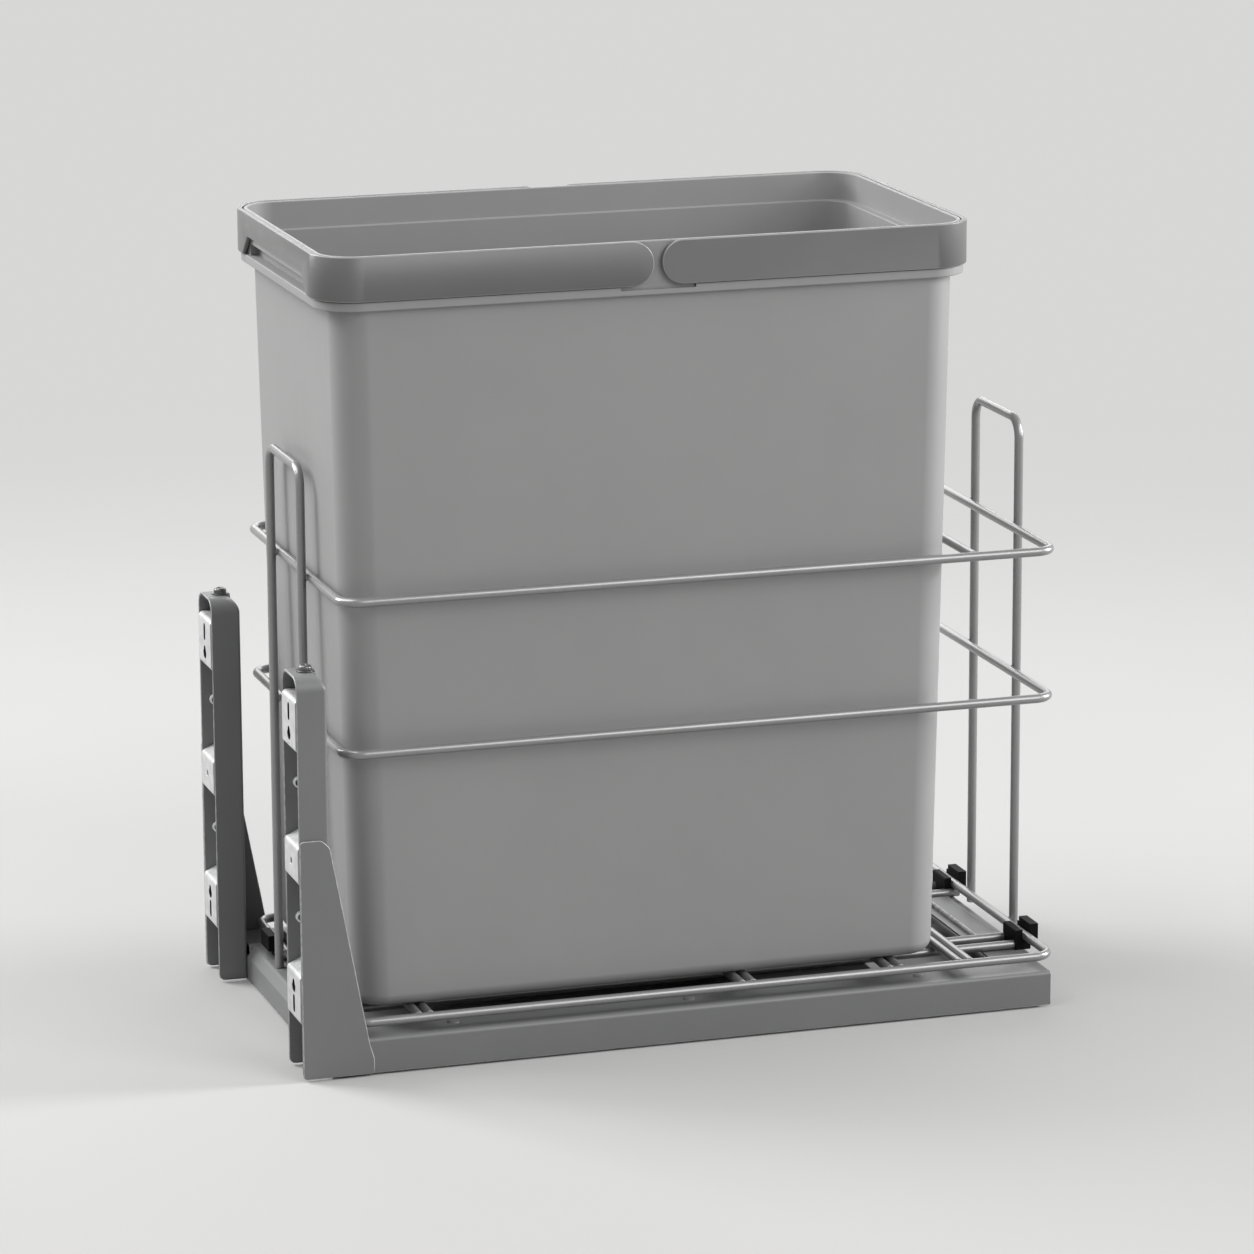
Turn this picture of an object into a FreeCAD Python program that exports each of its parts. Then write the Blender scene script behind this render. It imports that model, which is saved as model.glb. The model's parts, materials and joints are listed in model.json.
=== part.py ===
import FreeCAD, Part
import math
import os

# Pull-out bin frame for a kitchen base unit: a wire cage on a sheet-metal sledge that runs on two flat
# ball-bearing runners, with brackets that carry the cabinet door and a lift-out bin with two bails.
#
# Frame: millimetres, +Z up, Z = 0 on the cabinet floor. The door side faces -Y and the sledge pulls out
# towards -Y. X = 0 is the mirror plane, and Y = 0 lies halfway along the overall depth.
# "right" is the +X side and "left" the -X side. Right-hand pieces are drawn, left-hand ones are mirrored.

V = FreeCAD.Vector
X_AXIS = V(1, 0, 0)
Y_AXIS = V(0, 1, 0)
Z_AXIS = V(0, 0, 1)
SAME = 1e-4                  # below this two sizes are the same
HALF_TURN = 180

# ---------------------------------------------------------------- driving dimensions: overall
cage_length = 450.0          # runners and wire cage, along Y
bay_length = 58.5            # from the bin's body to the rear of the rings, inside
body_half_width = 107.0      # bin just under its ledge
bin_top_z = 493.0
bracket_top_z = 247.5

# ---------------------------------------------------------------- driving dimensions: sheet metal
sheet = 1.5                  # wall of every pressed sheet piece
bend_outside = 2.2           # outside radius of a pressed bend
floor_gap = 1.0              # moving sheet metal above the cabinet floor
hood_width = 35.0            # side channel and door bracket, outside
hood_beyond_rim = 6.4        # side channel's outer face beyond the rim's wire centre
hood_top_z = 22.5            # top face of the side channel
hood_short = 3.1             # side channel's rear end before the cage's
weld_gap = 0.1               # drawn gap at a welded or butted seam

# ---------------------------------------------------------------- driving dimensions: wire cage
wire = 5.6                   # wire diameter of the cage
ring_side_gap = 4.1          # rings to the bin's widest, at the sides
ring_end_gap = 2.7           # rings to the bin's widest, at the front, counted inwards
rim_flare = 3.9              # rim outside the rings
ring_bend = 12.0             # corner radius of rings and rim on the wire centre
lower_ring_z = 195.3
upper_ring_z = 287.8
upright_half = 37.2          # legs of the U-shaped uprights
upright_top_z = 354.7
upright_bend = 12.0
ring_cross_gap = 9.2         # wire across the upper ring, behind the bin's widest
long_wire_x = (52.0, 70.0)   # wires along the basket floor
cross_pair_pitch = 7.0       # the two wires of a pair
front_pair_inset = 45.9      # pairs of cross wires, from what they are near
rear_pair_inset = 57.1
middle_pair_gap = (11.0, 2.5)

# ---------------------------------------------------------------- driving dimensions: cross members
front_bar_depth = 28.5
front_bar_fold_z = 15.0      # top of the upright face of the front bar
front_bar_slope = 4.0        # how far the slope above it runs back
front_bar_margin = 1.1       # flat top in front of the upright
member_lip = 8.0             # turned-down edge of the cross members
middle_member_inset = 105.1  # its rear edge before the cage's rear run
middle_member_depth = 83.0
rear_member_inset = 0.1
rear_member_depth = 28.0
rib_half = 44.0              # raised rib of the rear member
rib_height = 3.0
rib_margin = 5.0             # flat border in front of and behind the rib
rib_run = 4.0                # length of the rib's sloped ends

# ---------------------------------------------------------------- driving dimensions: rim clips
clip_x = 63.0
clip_width = 22.0
clip_over = 1.4              # body above the rim wire
clip_mouth = 2.5             # half the opening that the rim wire is pressed through, from above
clip_clearance = 0.2
clip_tail_height = 3.0       # tail above the body
clip_reach = 7.1             # how far the body reaches inside the rim, from the wire's centre
clip_foot = (9.4, 4.4)       # snap foot, along X and Y
clip_foot_y = 4.6            # foot inside the rim, from the wire's centre
clip_foot_play = 0.3
clip_barb = 1.2              # how far the barbs reach past the foot
clip_barb_height = 2.0

# ---------------------------------------------------------------- driving dimensions: door brackets
bracket_depth = 18.5
bracket_round_rear = 9.0
bracket_round_side = 10.5    # from both side walls into the top
bracket_edge_round = 2.0     # from both side walls into the back
seat_r = 6.2                 # flat seat under the height screw, in the rounded top
bracket_round_foot = 4.0
gusset_height = 147.5
gusset_top = 16.0            # width of the gusset's top edge
gusset_bottom = 43.8
gusset_round = 5.0

# ---------------------------------------------------------------- driving dimensions: adjusting rails
rail_play = 0.5              # rail to bracket walls
rail_back_gap = 0.3          # rail to the bracket's back wall
rail_proud = 0.6             # pads stand this far out of the bracket
rail_foot_z = 24.0
foot_pad_z = (35.0, 64.0)
head_pad_drop = (45.0, 13.5) # top pad and its flange under the bracket's top
middle_pad_half = 11.0
middle_pad_low = 1.4         # middle pad below halfway between the other two
pad_slope = 7.0              # height of the slope beside a pad
door_hole_r = 2.8
door_hole_up = 19.8          # screw hole above the foot pad's lower edge
door_hole_drop = 36.2        # screw hole under the bracket's top
door_middle_hole_r = 2.0
door_slot_width = 2.5
door_slot_length = 9.0
door_slot_up = 9.4
door_slot_drop = 24.5
door_pin_hole_r = 0.9
door_pin_hole_drop = 40.9
stud_below_middle = 39.7     # guide studs from the middle pad's centre
stud_above_middle = 43.7

# ---------------------------------------------------------------- driving dimensions: small hardware
screw_r = 2.0                # height screw, rivets
screw_clearance = 0.3
thread_clearance = 0.06
screw_inset = 10.0           # height screw behind the bracket's front
height_screw_length = 27.0
pan_head_r = 4.0
pan_head_height = 3.0
recess_depth = 1.4
recess_width = 1.1
recess_span = 4.4
washer_r = 5.4
washer_thickness = 1.0
retainer_r = 3.6
retainer_thickness = 1.6
retainer_gap = 0.3
stud_inset = 8.6             # guide studs behind the bracket's front
stud_r = 3.3
stud_reach = 2.6             # inwards from the side wall
stud_socket_r = 1.7
stud_seat_depth = 1.0        # studs' feet in the side walls
rivet_head_r = 3.8
rivet_head_height = 1.0
rivet_pitch = 150.0
rivet_clearance = 0.05

# ---------------------------------------------------------------- driving dimensions: ball-bearing runners
runner_inset = 2.9           # runner behind the side channel's front end
runner_width = 30.0          # cabinet member, outside
race_gap = 2.4               # between the faces of neighbouring members
ball_r = 2.0
ball_clearance = 0.05
outer_race_z = 14.0
inner_race_z = 9.0
cabinet_arm_z = 17.5         # top of the cabinet and middle members' arms
cage_strip = 0.8
cage_gap = 0.4               # cage web to the members above and below it
balls_per_row = 8
ball_pitch = 26.0
ball_cage_margin = 14.0      # ball cage beyond its end balls
cage_strip_over = 2.9        # cage strip above the ball centres
floor_hole_r = 2.25
floor_hole_inset = 48.0      # screw holes from the runner's ends
floor_slot_shift = 17.0      # slot behind the runner's middle
floor_slot_length = 9.0
access_hole_r = 5.0

# ---------------------------------------------------------------- driving dimensions: bin and bails
bin_seat_gap = 0.1           # bin floor above the cross wires
bin_wall = 2.2
bin_floor = 2.6
body_taper = (4.0, 8.0)      # how much narrower and shorter each half is at the floor
body_round = 20.0
foot_fillet = 8.0
ledge_drop = (32.3, 26.8)    # ledge under the collar's top
ledge_inset = 1.9            # ledge inside the bails' outer face
inner_step_drop = 17.5
band_reach = (5.8, 10.3)     # bails' outer face beyond the body, at sides and ends
band_round = 27.0
band_drop = 26.5             # bails' lower edge under the collar's top
band_height = 26.9
band_thickness = 3.0
band_gap = 0.9               # bails to the bin's collar
collar_wall = 2.4
lip_round = 0.8
pivot_spread = 31.9          # between the two bails' pivots
pivot_offset_y = 1.7         # pivots' midpoint from the bin's centre
pivot_pin_r = 4.0
pivot_pin_clearance = 0.06
pivot_pin_length = 1.9       # into the bail
pivot_pin_end_gap = 0.2
relief_span = (-23.0, 24.0)  # slot under the round ends, from the pivots' midpoint
relief_depth = 2.2
grip_half_bottom = 79.0      # finger cut-out in a bail's end
grip_half_top = 66.0
grip_height = 12.5
grip_round = 3.0
pocket_half = 72.0           # recess in the bin behind the cut-out
pocket_depth = 5.2
pocket_height = 7.4

# ---------------------------------------------------------------- places that follow: across
wire_r = wire / 2
seam = wire + weld_gap       # centre to centre of two wires welded side by side
ring_half = body_half_width + ring_side_gap + wire_r
rim_half = ring_half + rim_flare
hood_outer_x = rim_half + hood_beyond_rim
hood_inner_x = hood_outer_x - hood_width
side_x = hood_outer_x - hood_width / 2      # centre line of side channel, bracket and runner
member_half = hood_inner_x - weld_gap
cross_wire_half = rim_half - wire_r - weld_gap
rail_half = hood_width / 2 - sheet - rail_play

# ---------------------------------------------------------------- places that follow: along the pull-out
front_reach = seam + wire_r + front_bar_margin + front_bar_slope + bracket_depth + rail_proud
rear_reach = seam + wire_r
cage_rear_y = (cage_length + front_reach - rear_reach) / 2
cage_front_y = cage_rear_y - cage_length
upright_front_y = cage_front_y - seam
upright_rear_y = cage_rear_y + seam
bracket_back_y = upright_front_y - wire_r - front_bar_margin - front_bar_slope
bracket_front_y = bracket_back_y - bracket_depth
bracket_inside_y = bracket_back_y - sheet
front_bar_y = bracket_back_y
hood_front_y = front_bar_y + sheet + weld_gap
hood_rear_y = cage_rear_y - hood_short
rear_member_y = cage_rear_y - rear_member_inset
middle_member_y = cage_rear_y - middle_member_inset
rail_back_y = bracket_inside_y - rail_back_gap
rail_floor_y = rail_back_y - sheet
pad_y = bracket_front_y - rail_proud
screw_y = bracket_front_y + screw_inset
stud_y = bracket_front_y + stud_inset
runner_front_y = hood_front_y + runner_inset
runner_rear_y = runner_front_y + cage_length
runner_mid_y = (runner_front_y + runner_rear_y) / 2
rivet_y = (runner_mid_y - rivet_pitch, runner_mid_y, runner_mid_y + rivet_pitch)
floor_hole_y = (runner_front_y + floor_hole_inset, runner_rear_y - floor_hole_inset)
floor_slot_y = runner_mid_y + floor_slot_shift
ball_cage_length = ball_pitch * (balls_per_row - 1) + 2 * ball_cage_margin
bin_front_y = cage_front_y + wire_r - ring_end_gap
bin_rear_y = cage_rear_y - wire_r - bay_length
bin_centre_y = (bin_front_y + bin_rear_y) / 2
ring_cross_y = bin_rear_y + ring_cross_gap
cross_pair_y = (
    cage_front_y + front_pair_inset,
    middle_member_y - middle_member_depth - middle_pair_gap[0],
    middle_member_y + middle_pair_gap[1],
    cage_rear_y - rear_pair_inset,
)

# ---------------------------------------------------------------- places that follow: heights
plate_top_z = hood_top_z - 3 * weld_gap     # flat top of the three cross members
wire_foot_z = plate_top_z + weld_gap
long_wire_z = plate_top_z + weld_gap + wire_r
rim_z = long_wire_z + seam
cross_wire_z = rim_z
head_pad_z = (bracket_top_z - head_pad_drop[0], bracket_top_z - head_pad_drop[1])
middle_pad_z = (sum(foot_pad_z) + sum(head_pad_z)) / 4 - middle_pad_low
door_hole_z = (foot_pad_z[0] + door_hole_up, bracket_top_z - door_hole_drop)
door_slot_z = (foot_pad_z[0] + door_slot_up, bracket_top_z - door_slot_drop)
stud_z = (middle_pad_z - stud_below_middle, middle_pad_z + stud_above_middle)
outer_cage_z = sheet + cage_gap
middle_web_z = outer_cage_z + cage_strip + cage_gap
inner_cage_z = middle_web_z + sheet + cage_gap
sledge_arm_z = inner_cage_z + cage_strip + cage_gap
sledge_web_z = hood_top_z - sheet
cabinet_inner = runner_width / 2 - sheet
middle_outer = cabinet_inner - race_gap
middle_inner = middle_outer - sheet
sledge_outer = middle_inner - race_gap
outer_race_half = cabinet_inner - race_gap / 2
inner_race_half = middle_inner - race_gap / 2

# ---------------------------------------------------------------- places that follow: bin
body_half = (body_half_width, (bin_rear_y - bin_front_y) / 2)
foot_half = (body_half[0] - body_taper[0], body_half[1] - body_taper[1])
band_half = (body_half[0] + band_reach[0], body_half[1] + band_reach[1])
bin_floor_z = cross_wire_z + wire_r + bin_seat_gap
ledge_z = (bin_top_z - ledge_drop[0], bin_top_z - ledge_drop[1])
inner_step_z = bin_top_z - inner_step_drop
band_z = (bin_top_z - band_drop, bin_top_z - band_drop + band_height)
collar_half = tuple(h - band_thickness - band_gap for h in band_half)
collar_round = band_round - band_thickness - band_gap
pivot_mid_y = bin_centre_y + pivot_offset_y
pivot_y = (pivot_mid_y - pivot_spread / 2, pivot_mid_y + pivot_spread / 2)
pivot_z = (band_z[0] + band_z[1]) / 2
bail_end_r = band_height / 2
OVER = 5.0                   # how far a cutting tool runs past what it cuts


# ---------------------------------------------------------------- shape helpers
def block(x, y, z):
    """Box between pairs of limits."""
    return Part.makeBox(x[1] - x[0], y[1] - y[0], z[1] - z[0], V(x[0], y[0], z[0]))


def rod(start, end, radius):
    """Round bar between two points."""
    way = end - start
    return Part.makeCylinder(radius, way.Length, start, way)


def drilled(shape, centre, axis, reach, radius):
    """Shape with a round hole that reaches equally far to both sides of the centre."""
    return shape.cut(rod(centre - axis * reach, centre + axis * reach, radius))


def largest(shape):
    """The largest solid of a shape that a cut has left in pieces."""
    return max(shape.Solids, key=lambda solid: solid.Volume)


def edges_at(shape, z):
    """Edges that lie wholly at height z."""
    return [e for e in shape.Edges if abs(e.BoundBox.ZMin - z) < SAME and abs(e.BoundBox.ZMax - z) < SAME]


def mirrored(shape):
    """The left-hand piece of a right-hand one."""
    return shape.mirror(V(0, 0, 0), X_AXIS)


def flipped(shape, y):
    """Mirror front to back about the plane at y."""
    return shape.mirror(V(0, y, 0), Y_AXIS)


def fused(shapes):
    """One solid out of touching or overlapping shapes."""
    if len(shapes) == 1:
        return shapes[0]
    return shapes[0].multiFuse(shapes[1:]).removeSplitter()


def rounded_outline(points, radii):
    """Closed outline through the points, each corner rounded by its own radius (0 leaves it sharp)."""
    edges = []
    count = len(points)
    joints = []
    for i in range(count):
        before, corner, after = points[i - 1], points[i], points[(i + 1) % count]
        u = (before - corner).normalize()
        v = (after - corner).normalize()
        if radii[i] == 0:
            joints.append((corner, corner, None))
            continue
        half = u.getAngle(v) / 2
        reach = radii[i] / math.tan(half)
        middle = (u + v).normalize() * (radii[i] / math.sin(half) - radii[i])
        joints.append((corner + u * reach, corner + v * reach, corner + middle))
    for i in range(count):
        start, end, middle = joints[i]
        if middle is not None:
            edges.append(Part.Arc(start, middle, end).toShape())
        following = joints[(i + 1) % count][0]
        if (following - end).Length > SAME:
            edges.append(Part.LineSegment(end, following).toShape())
    return Part.Wire(edges)


def rounded_rectangle(half, radius, z):
    """Outline about the bin's centre at height z."""
    hx, hy = half
    corners = [V(-hx, -hy, 0), V(hx, -hy, 0), V(hx, hy, 0), V(-hx, hy, 0)]
    place = V(0, bin_centre_y, z)
    return rounded_outline([c + place for c in corners], [radius] * 4)


def prism(half, radius, z):
    """Rounded rectangular block about the bin's centre."""
    return Part.Face(rounded_rectangle(half, radius, z[0])).extrude(Z_AXIS * (z[1] - z[0]))


def sheet_outline(path, thickness):
    """Closed outline of a bent sheet: the path is one face and the other lies to its left."""
    normals = []
    for a, b in zip(path, path[1:]):
        dx, dy = b[0] - a[0], b[1] - a[1]
        length = math.hypot(dx, dy)
        normals.append((-dy / length, dx / length))
    other = []
    for i, (px, py) in enumerate(path):
        n1 = normals[max(i - 1, 0)]
        n2 = normals[min(i, len(normals) - 1)]
        sx, sy = n1[0] + n2[0], n1[1] + n2[1]
        scale = 2 * thickness / (sx * sx + sy * sy)
        other.append((px + sx * scale, py + sy * scale))
    return list(path) + other[::-1]


def bent_sheet(path, thickness, plane, span):
    """Sheet bent along a path in the YZ plane (spanning X) or in the XZ plane (spanning Y)."""
    outline = sheet_outline(path, thickness)
    if plane == "YZ":
        points = [V(span[0], a, b) for a, b in outline]
        way = X_AXIS * (span[1] - span[0])
    else:
        points = [V(a, span[0], b) for a, b in outline]
        way = Y_AXIS * (span[1] - span[0])
    return Part.Face(Part.makePolygon(points + points[:1])).extrude(way)


def rounded_along(shape, axis, radius, test):
    """Fillet the straight edges that run along an axis and whose middle passes the test."""
    edges = []
    for edge in shape.Edges:
        ends = edge.Vertexes
        if len(ends) != 2:
            continue
        way = ends[1].Point - ends[0].Point
        if way.Length < SAME or abs(way.normalize().dot(axis)) < 1 - SAME:
            continue
        if test(edge.CenterOfMass):
            edges.append(edge)
    return shape.makeFillet(radius, edges)


def bent_wire(points, bend, radius, closed):
    """Round wire along straight runs joined by arcs of one bend radius."""
    count = len(points)
    corners = range(count) if closed else range(1, count - 1)
    arrive = dict(enumerate(points))
    leave = dict(enumerate(points))
    pieces = []
    for i in corners:
        corner = points[i]
        u = (points[i - 1] - corner).normalize()
        v = (points[(i + 1) % count] - corner).normalize()
        half = u.getAngle(v) / 2
        arrive[i] = corner + u * (bend / math.tan(half))
        leave[i] = corner + v * (bend / math.tan(half))
        centre = corner + (u + v).normalize() * (bend / math.sin(half))
        axis = (arrive[i] - centre).cross(u * -1)
        disc = Part.Face(Part.Wire(Part.Circle(arrive[i], u, radius).toShape()))
        pieces.append(disc.revolve(centre, axis, HALF_TURN - math.degrees(2 * half)))
    for i in range(count if closed else count - 1):
        pieces.append(rod(leave[i], arrive[(i + 1) % count], radius))
    return fused(pieces)


def slot(centre, axis, along, length, width):
    """Cutting tool for a round-ended slot through a wall, centred on the wall."""
    start = centre - axis * OVER
    shift = along * ((length - width) / 2)
    across = axis.cross(along) * (width / 2)
    corners = [shift + across, shift - across, shift * -1 - across, shift * -1 + across]
    points = [start + c for c in corners]
    middle = Part.Face(Part.makePolygon(points + points[:1])).extrude(axis * (2 * OVER))
    ends = [Part.makeCylinder(width / 2, 2 * OVER, start + s, axis) for s in (shift, shift * -1)]
    return fused(ends + [middle])


# ---------------------------------------------------------------- side channels and cross members
def side_channel():
    """Inverted U that covers the runner; open at the front, the rear and underneath."""
    path = [
        (hood_inner_x, floor_gap),
        (hood_inner_x, hood_top_z),
        (hood_outer_x, hood_top_z),
        (hood_outer_x, floor_gap),
    ]
    inward = [(2 * side_x - x, z) for x, z in path]
    hood = bent_sheet(inward, sheet, "XZ", (hood_front_y, hood_rear_y))
    top_edges = lambda p: p.z > hood_top_z - sheet / 2 and abs(p.x - side_x) > hood_width / 2 - sheet / 2
    hood = rounded_along(hood, Y_AXIS, bend_outside, top_edges)
    for y in rivet_y:
        hood = drilled(hood, V(side_x, y, hood_top_z), Z_AXIS, OVER, screw_r + rivet_clearance)
    return hood


def front_cross_bar():
    """Upright face behind both brackets, a slope above it and a flat top that carries the cage."""
    rear_y = front_bar_y + front_bar_depth
    path = [
        (front_bar_y, floor_gap),
        (front_bar_y, front_bar_fold_z),
        (front_bar_y + front_bar_slope, plate_top_z),
        (rear_y, plate_top_z),
        (rear_y, plate_top_z - member_lip),
    ]
    bar = bent_sheet([(y, z) for y, z in reversed(path)], sheet, "YZ", (-member_half, member_half))
    reach = hood_outer_x - sheet
    ends = block((-reach, reach), (front_bar_y, front_bar_y + sheet), (floor_gap, front_bar_fold_z))
    bar = fused([bar, ends])
    for x in (-clip_x, clip_x):
        bar = bar.cut(clip_hole(x, cage_front_y + clip_foot_y))
    return bar


def clip_hole(x, y):
    """Hole in a cross member for a clip's snap foot."""
    half_x = clip_foot[0] / 2 + clip_foot_play
    half_y = clip_foot[1] / 2 + clip_foot_play
    z = (plate_top_z - 2 * sheet, plate_top_z + sheet)
    return block((x - half_x, x + half_x), (y - half_y, y + half_y), z)


def middle_cross_member():
    """Flat plate with both long edges turned down, under the middle of the basket."""
    rear = middle_member_y
    front = rear - middle_member_depth
    path = [
        (rear, plate_top_z - member_lip),
        (rear, plate_top_z),
        (front, plate_top_z),
        (front, plate_top_z - member_lip),
    ]
    return bent_sheet(path, sheet, "YZ", (-member_half, member_half))


def rear_cross_member():
    """Flat plate with a skirt at the rear and a raised rib across its middle."""
    rear = rear_member_y
    front = rear - rear_member_depth
    path = [(rear, floor_gap), (rear, plate_top_z), (front, plate_top_z)]
    plate = bent_sheet(path, sheet, "YZ", (-member_half, member_half))
    rib_y = (front + rib_margin, rear - sheet - rib_margin)
    rib_path = [
        (rib_half + rib_run, plate_top_z),
        (rib_half, plate_top_z + rib_height),
        (-rib_half, plate_top_z + rib_height),
        (-rib_half - rib_run, plate_top_z),
    ]
    raised = [V(x, rib_y[0], z) for x, z in rib_path]
    hump = Part.Face(Part.makePolygon(raised + raised[:1])).extrude(Y_AXIS * (rib_y[1] - rib_y[0]))
    hollow_path = [
        (rib_half + rib_run - sheet, plate_top_z - sheet - OVER),
        (rib_half + rib_run - sheet, plate_top_z - sheet),
        (rib_half - sheet, plate_top_z + rib_height - sheet),
        (-rib_half + sheet, plate_top_z + rib_height - sheet),
        (-rib_half - rib_run + sheet, plate_top_z - sheet),
        (-rib_half - rib_run + sheet, plate_top_z - sheet - OVER),
    ]
    under = [V(x, rib_y[0] + sheet, z) for x, z in hollow_path]
    hollow_depth = rib_y[1] - rib_y[0] - 2 * sheet
    hollow = Part.Face(Part.makePolygon(under + under[:1])).extrude(Y_AXIS * hollow_depth)
    plate = fused([plate, hump]).cut(hollow)
    for x in (-clip_x, clip_x):
        plate = plate.cut(clip_hole(x, cage_rear_y - clip_foot_y))
    return plate


# ---------------------------------------------------------------- wire cage
def wire_loop(half, z):
    """Closed rectangular wire of the cage's length."""
    corners = [
        V(-half, cage_front_y, z),
        V(half, cage_front_y, z),
        V(half, cage_rear_y, z),
        V(-half, cage_rear_y, z),
    ]
    return bent_wire(corners, ring_bend, wire_r, True)


def upright(y):
    """U-shaped upright, open downwards."""
    points = [
        V(-upright_half, y, wire_foot_z),
        V(-upright_half, y, upright_top_z),
        V(upright_half, y, upright_top_z),
        V(upright_half, y, wire_foot_z),
    ]
    return bent_wire(points, upright_bend, wire_r, False)


def ring_cross_wire():
    reach = ring_half - wire_r - weld_gap
    return rod(V(-reach, ring_cross_y, upper_ring_z), V(reach, ring_cross_y, upper_ring_z), wire_r)


def long_wires():
    front, rear = cage_front_y - wire_r, cage_rear_y + wire_r
    places = [side * x for x in long_wire_x for side in (-1, 1)]
    return [rod(V(x, front, long_wire_z), V(x, rear, long_wire_z), wire_r) for x in places]


def cross_wires():
    wires = []
    for y in cross_pair_y:
        for shift in (-cross_pair_pitch / 2, cross_pair_pitch / 2):
            start = V(-cross_wire_half, y + shift, cross_wire_z)
            wires.append(rod(start, V(cross_wire_half, y + shift, cross_wire_z), wire_r))
    return wires


def rim_clip(rear):
    """Right-hand plastic clip: an open cradle for the rim wire, a tail and a snap foot through the plate."""
    y = cage_rear_y
    x = (clip_x - clip_width / 2, clip_x + clip_width / 2)
    inner = y - clip_reach
    outer = y + wire_r + clip_clearance
    top = rim_z + wire_r + clip_over
    body = block(x, (inner, outer), (plate_top_z + weld_gap, top))
    tail_thickness = seam + wire_r - outer + y
    tail_z = (rim_z - wire_r, top + clip_tail_height)
    tail = block((x[0] + sheet, x[1] - sheet), (outer, outer + tail_thickness), tail_z)
    foot_y = y - clip_foot_y
    foot_x = (clip_x - clip_foot[0] / 2, clip_x + clip_foot[0] / 2)
    foot_span = (foot_y - clip_foot[1] / 2, foot_y + clip_foot[1] / 2)
    barb_top = plate_top_z - sheet - clip_clearance
    foot = block(foot_x, foot_span, (barb_top - clip_barb_height, plate_top_z + 2 * weld_gap))
    barb_x = (foot_x[0] - clip_barb, foot_x[1] + clip_barb)
    barb = block(barb_x, foot_span, (barb_top - clip_barb_height, barb_top))
    clip = fused([body, tail, foot, barb])
    inner_top = lambda p: p.z > top - weld_gap and p.y < outer - weld_gap
    clip = rounded_along(clip, X_AXIS, clip_over, inner_top)
    clip = drilled(clip, V(clip_x, y, rim_z), X_AXIS, clip_width, wire_r + clip_clearance)
    clip = clip.cut(block(x, (y - clip_mouth, y + clip_mouth), (rim_z, top + OVER)))
    for wire_x in long_wire_x:
        start = V(wire_x, inner - OVER, long_wire_z)
        channel = rod(start, V(wire_x, y + wire_r + clip_clearance, long_wire_z), wire_r + clip_clearance)
        clip = clip.cut(channel)
    clip = largest(clip)
    if rear:
        return clip
    return flipped(clip, (cage_front_y + cage_rear_y) / 2)


# ---------------------------------------------------------------- door brackets
def bracket_block(inset, past):
    """Solid of a bracket's outline, or of the space inside it when inset by the sheet."""
    x = (hood_inner_x + inset, hood_outer_x - inset)
    y = (bracket_front_y - past, bracket_back_y - inset)
    z = (floor_gap - past, bracket_top_z - inset)
    foot = bracket_round_foot if inset == 0 else 0
    side_round = bracket_round_side - inset
    edge_round = bracket_edge_round - inset
    side = [V(x[0], y[0], z[0]), V(x[0], y[1], z[0]), V(x[0], y[1], z[1]), V(x[0], y[0], z[1])]
    front = [V(x[0], y[0], z[0]), V(x[1], y[0], z[0]), V(x[1], y[0], z[1]), V(x[0], y[0], z[1])]
    plan = [V(x[0], y[0], z[0]), V(x[1], y[0], z[0]), V(x[1], y[1], z[0]), V(x[0], y[1], z[0])]
    side_face = Part.Face(rounded_outline(side, [foot, 0, bracket_round_rear - inset, 0]))
    front_face = Part.Face(rounded_outline(front, [0, 0, side_round, side_round]))
    plan_face = Part.Face(rounded_outline(plan, [0, 0, edge_round, edge_round]))
    shape = side_face.extrude(X_AXIS * (x[1] - x[0]))
    shape = shape.common(front_face.extrude(Y_AXIS * (y[1] - y[0])))
    shape = shape.common(plan_face.extrude(Z_AXIS * (z[1] - z[0])))
    seat = V(side_x, screw_y, z[1] - bracket_round_rear)
    return fused([shape, Part.makeCylinder(seat_r - inset, bracket_round_rear, seat)])


def stud_places():
    """Feet and inward directions of a bracket's guide studs, two on each side wall."""
    places = []
    for z in stud_z:
        places.append((V(hood_inner_x + sheet - stud_seat_depth, stud_y, z), X_AXIS))
        places.append((V(hood_outer_x - sheet + stud_seat_depth, stud_y, z), X_AXIS * -1))
    return places


def door_bracket():
    """Deep channel, open to the front and underneath, with a closed round top and a flat screw seat."""
    bracket = bracket_block(0, 0).cut(bracket_block(sheet, OVER))
    screw_hole_r = screw_r + screw_clearance
    bracket = drilled(bracket, V(side_x, screw_y, bracket_top_z), Z_AXIS, OVER, screw_hole_r)
    for foot, inwards in stud_places():
        bracket = bracket.cut(rod(foot, foot + inwards * (2 * sheet), stud_r + thread_clearance))
    return bracket


def gusset():
    """Flat plate outside the bracket and the side channel, slanted at the rear."""
    front = bracket_front_y
    x = hood_outer_x
    foot = floor_gap
    top = foot + gusset_height
    heel = (bracket_round_foot + gusset_round) * 2
    small = gusset_round / 2
    corners = [
        (front, foot, small),
        (front + gusset_bottom, foot, small),
        (front + gusset_bottom, foot + gusset_round * 2, small),
        (front + gusset_bottom - small, foot + heel, gusset_round * 2),
        (front + gusset_top + small, top - gusset_round, gusset_round),
        (front + gusset_top - small, top, gusset_round),
        (front, top, small),
    ]
    outline = rounded_outline([V(x, y, z) for y, z, _ in corners], [radius for _, _, radius in corners])
    return Part.Face(outline).extrude(X_AXIS * sheet)


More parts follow.
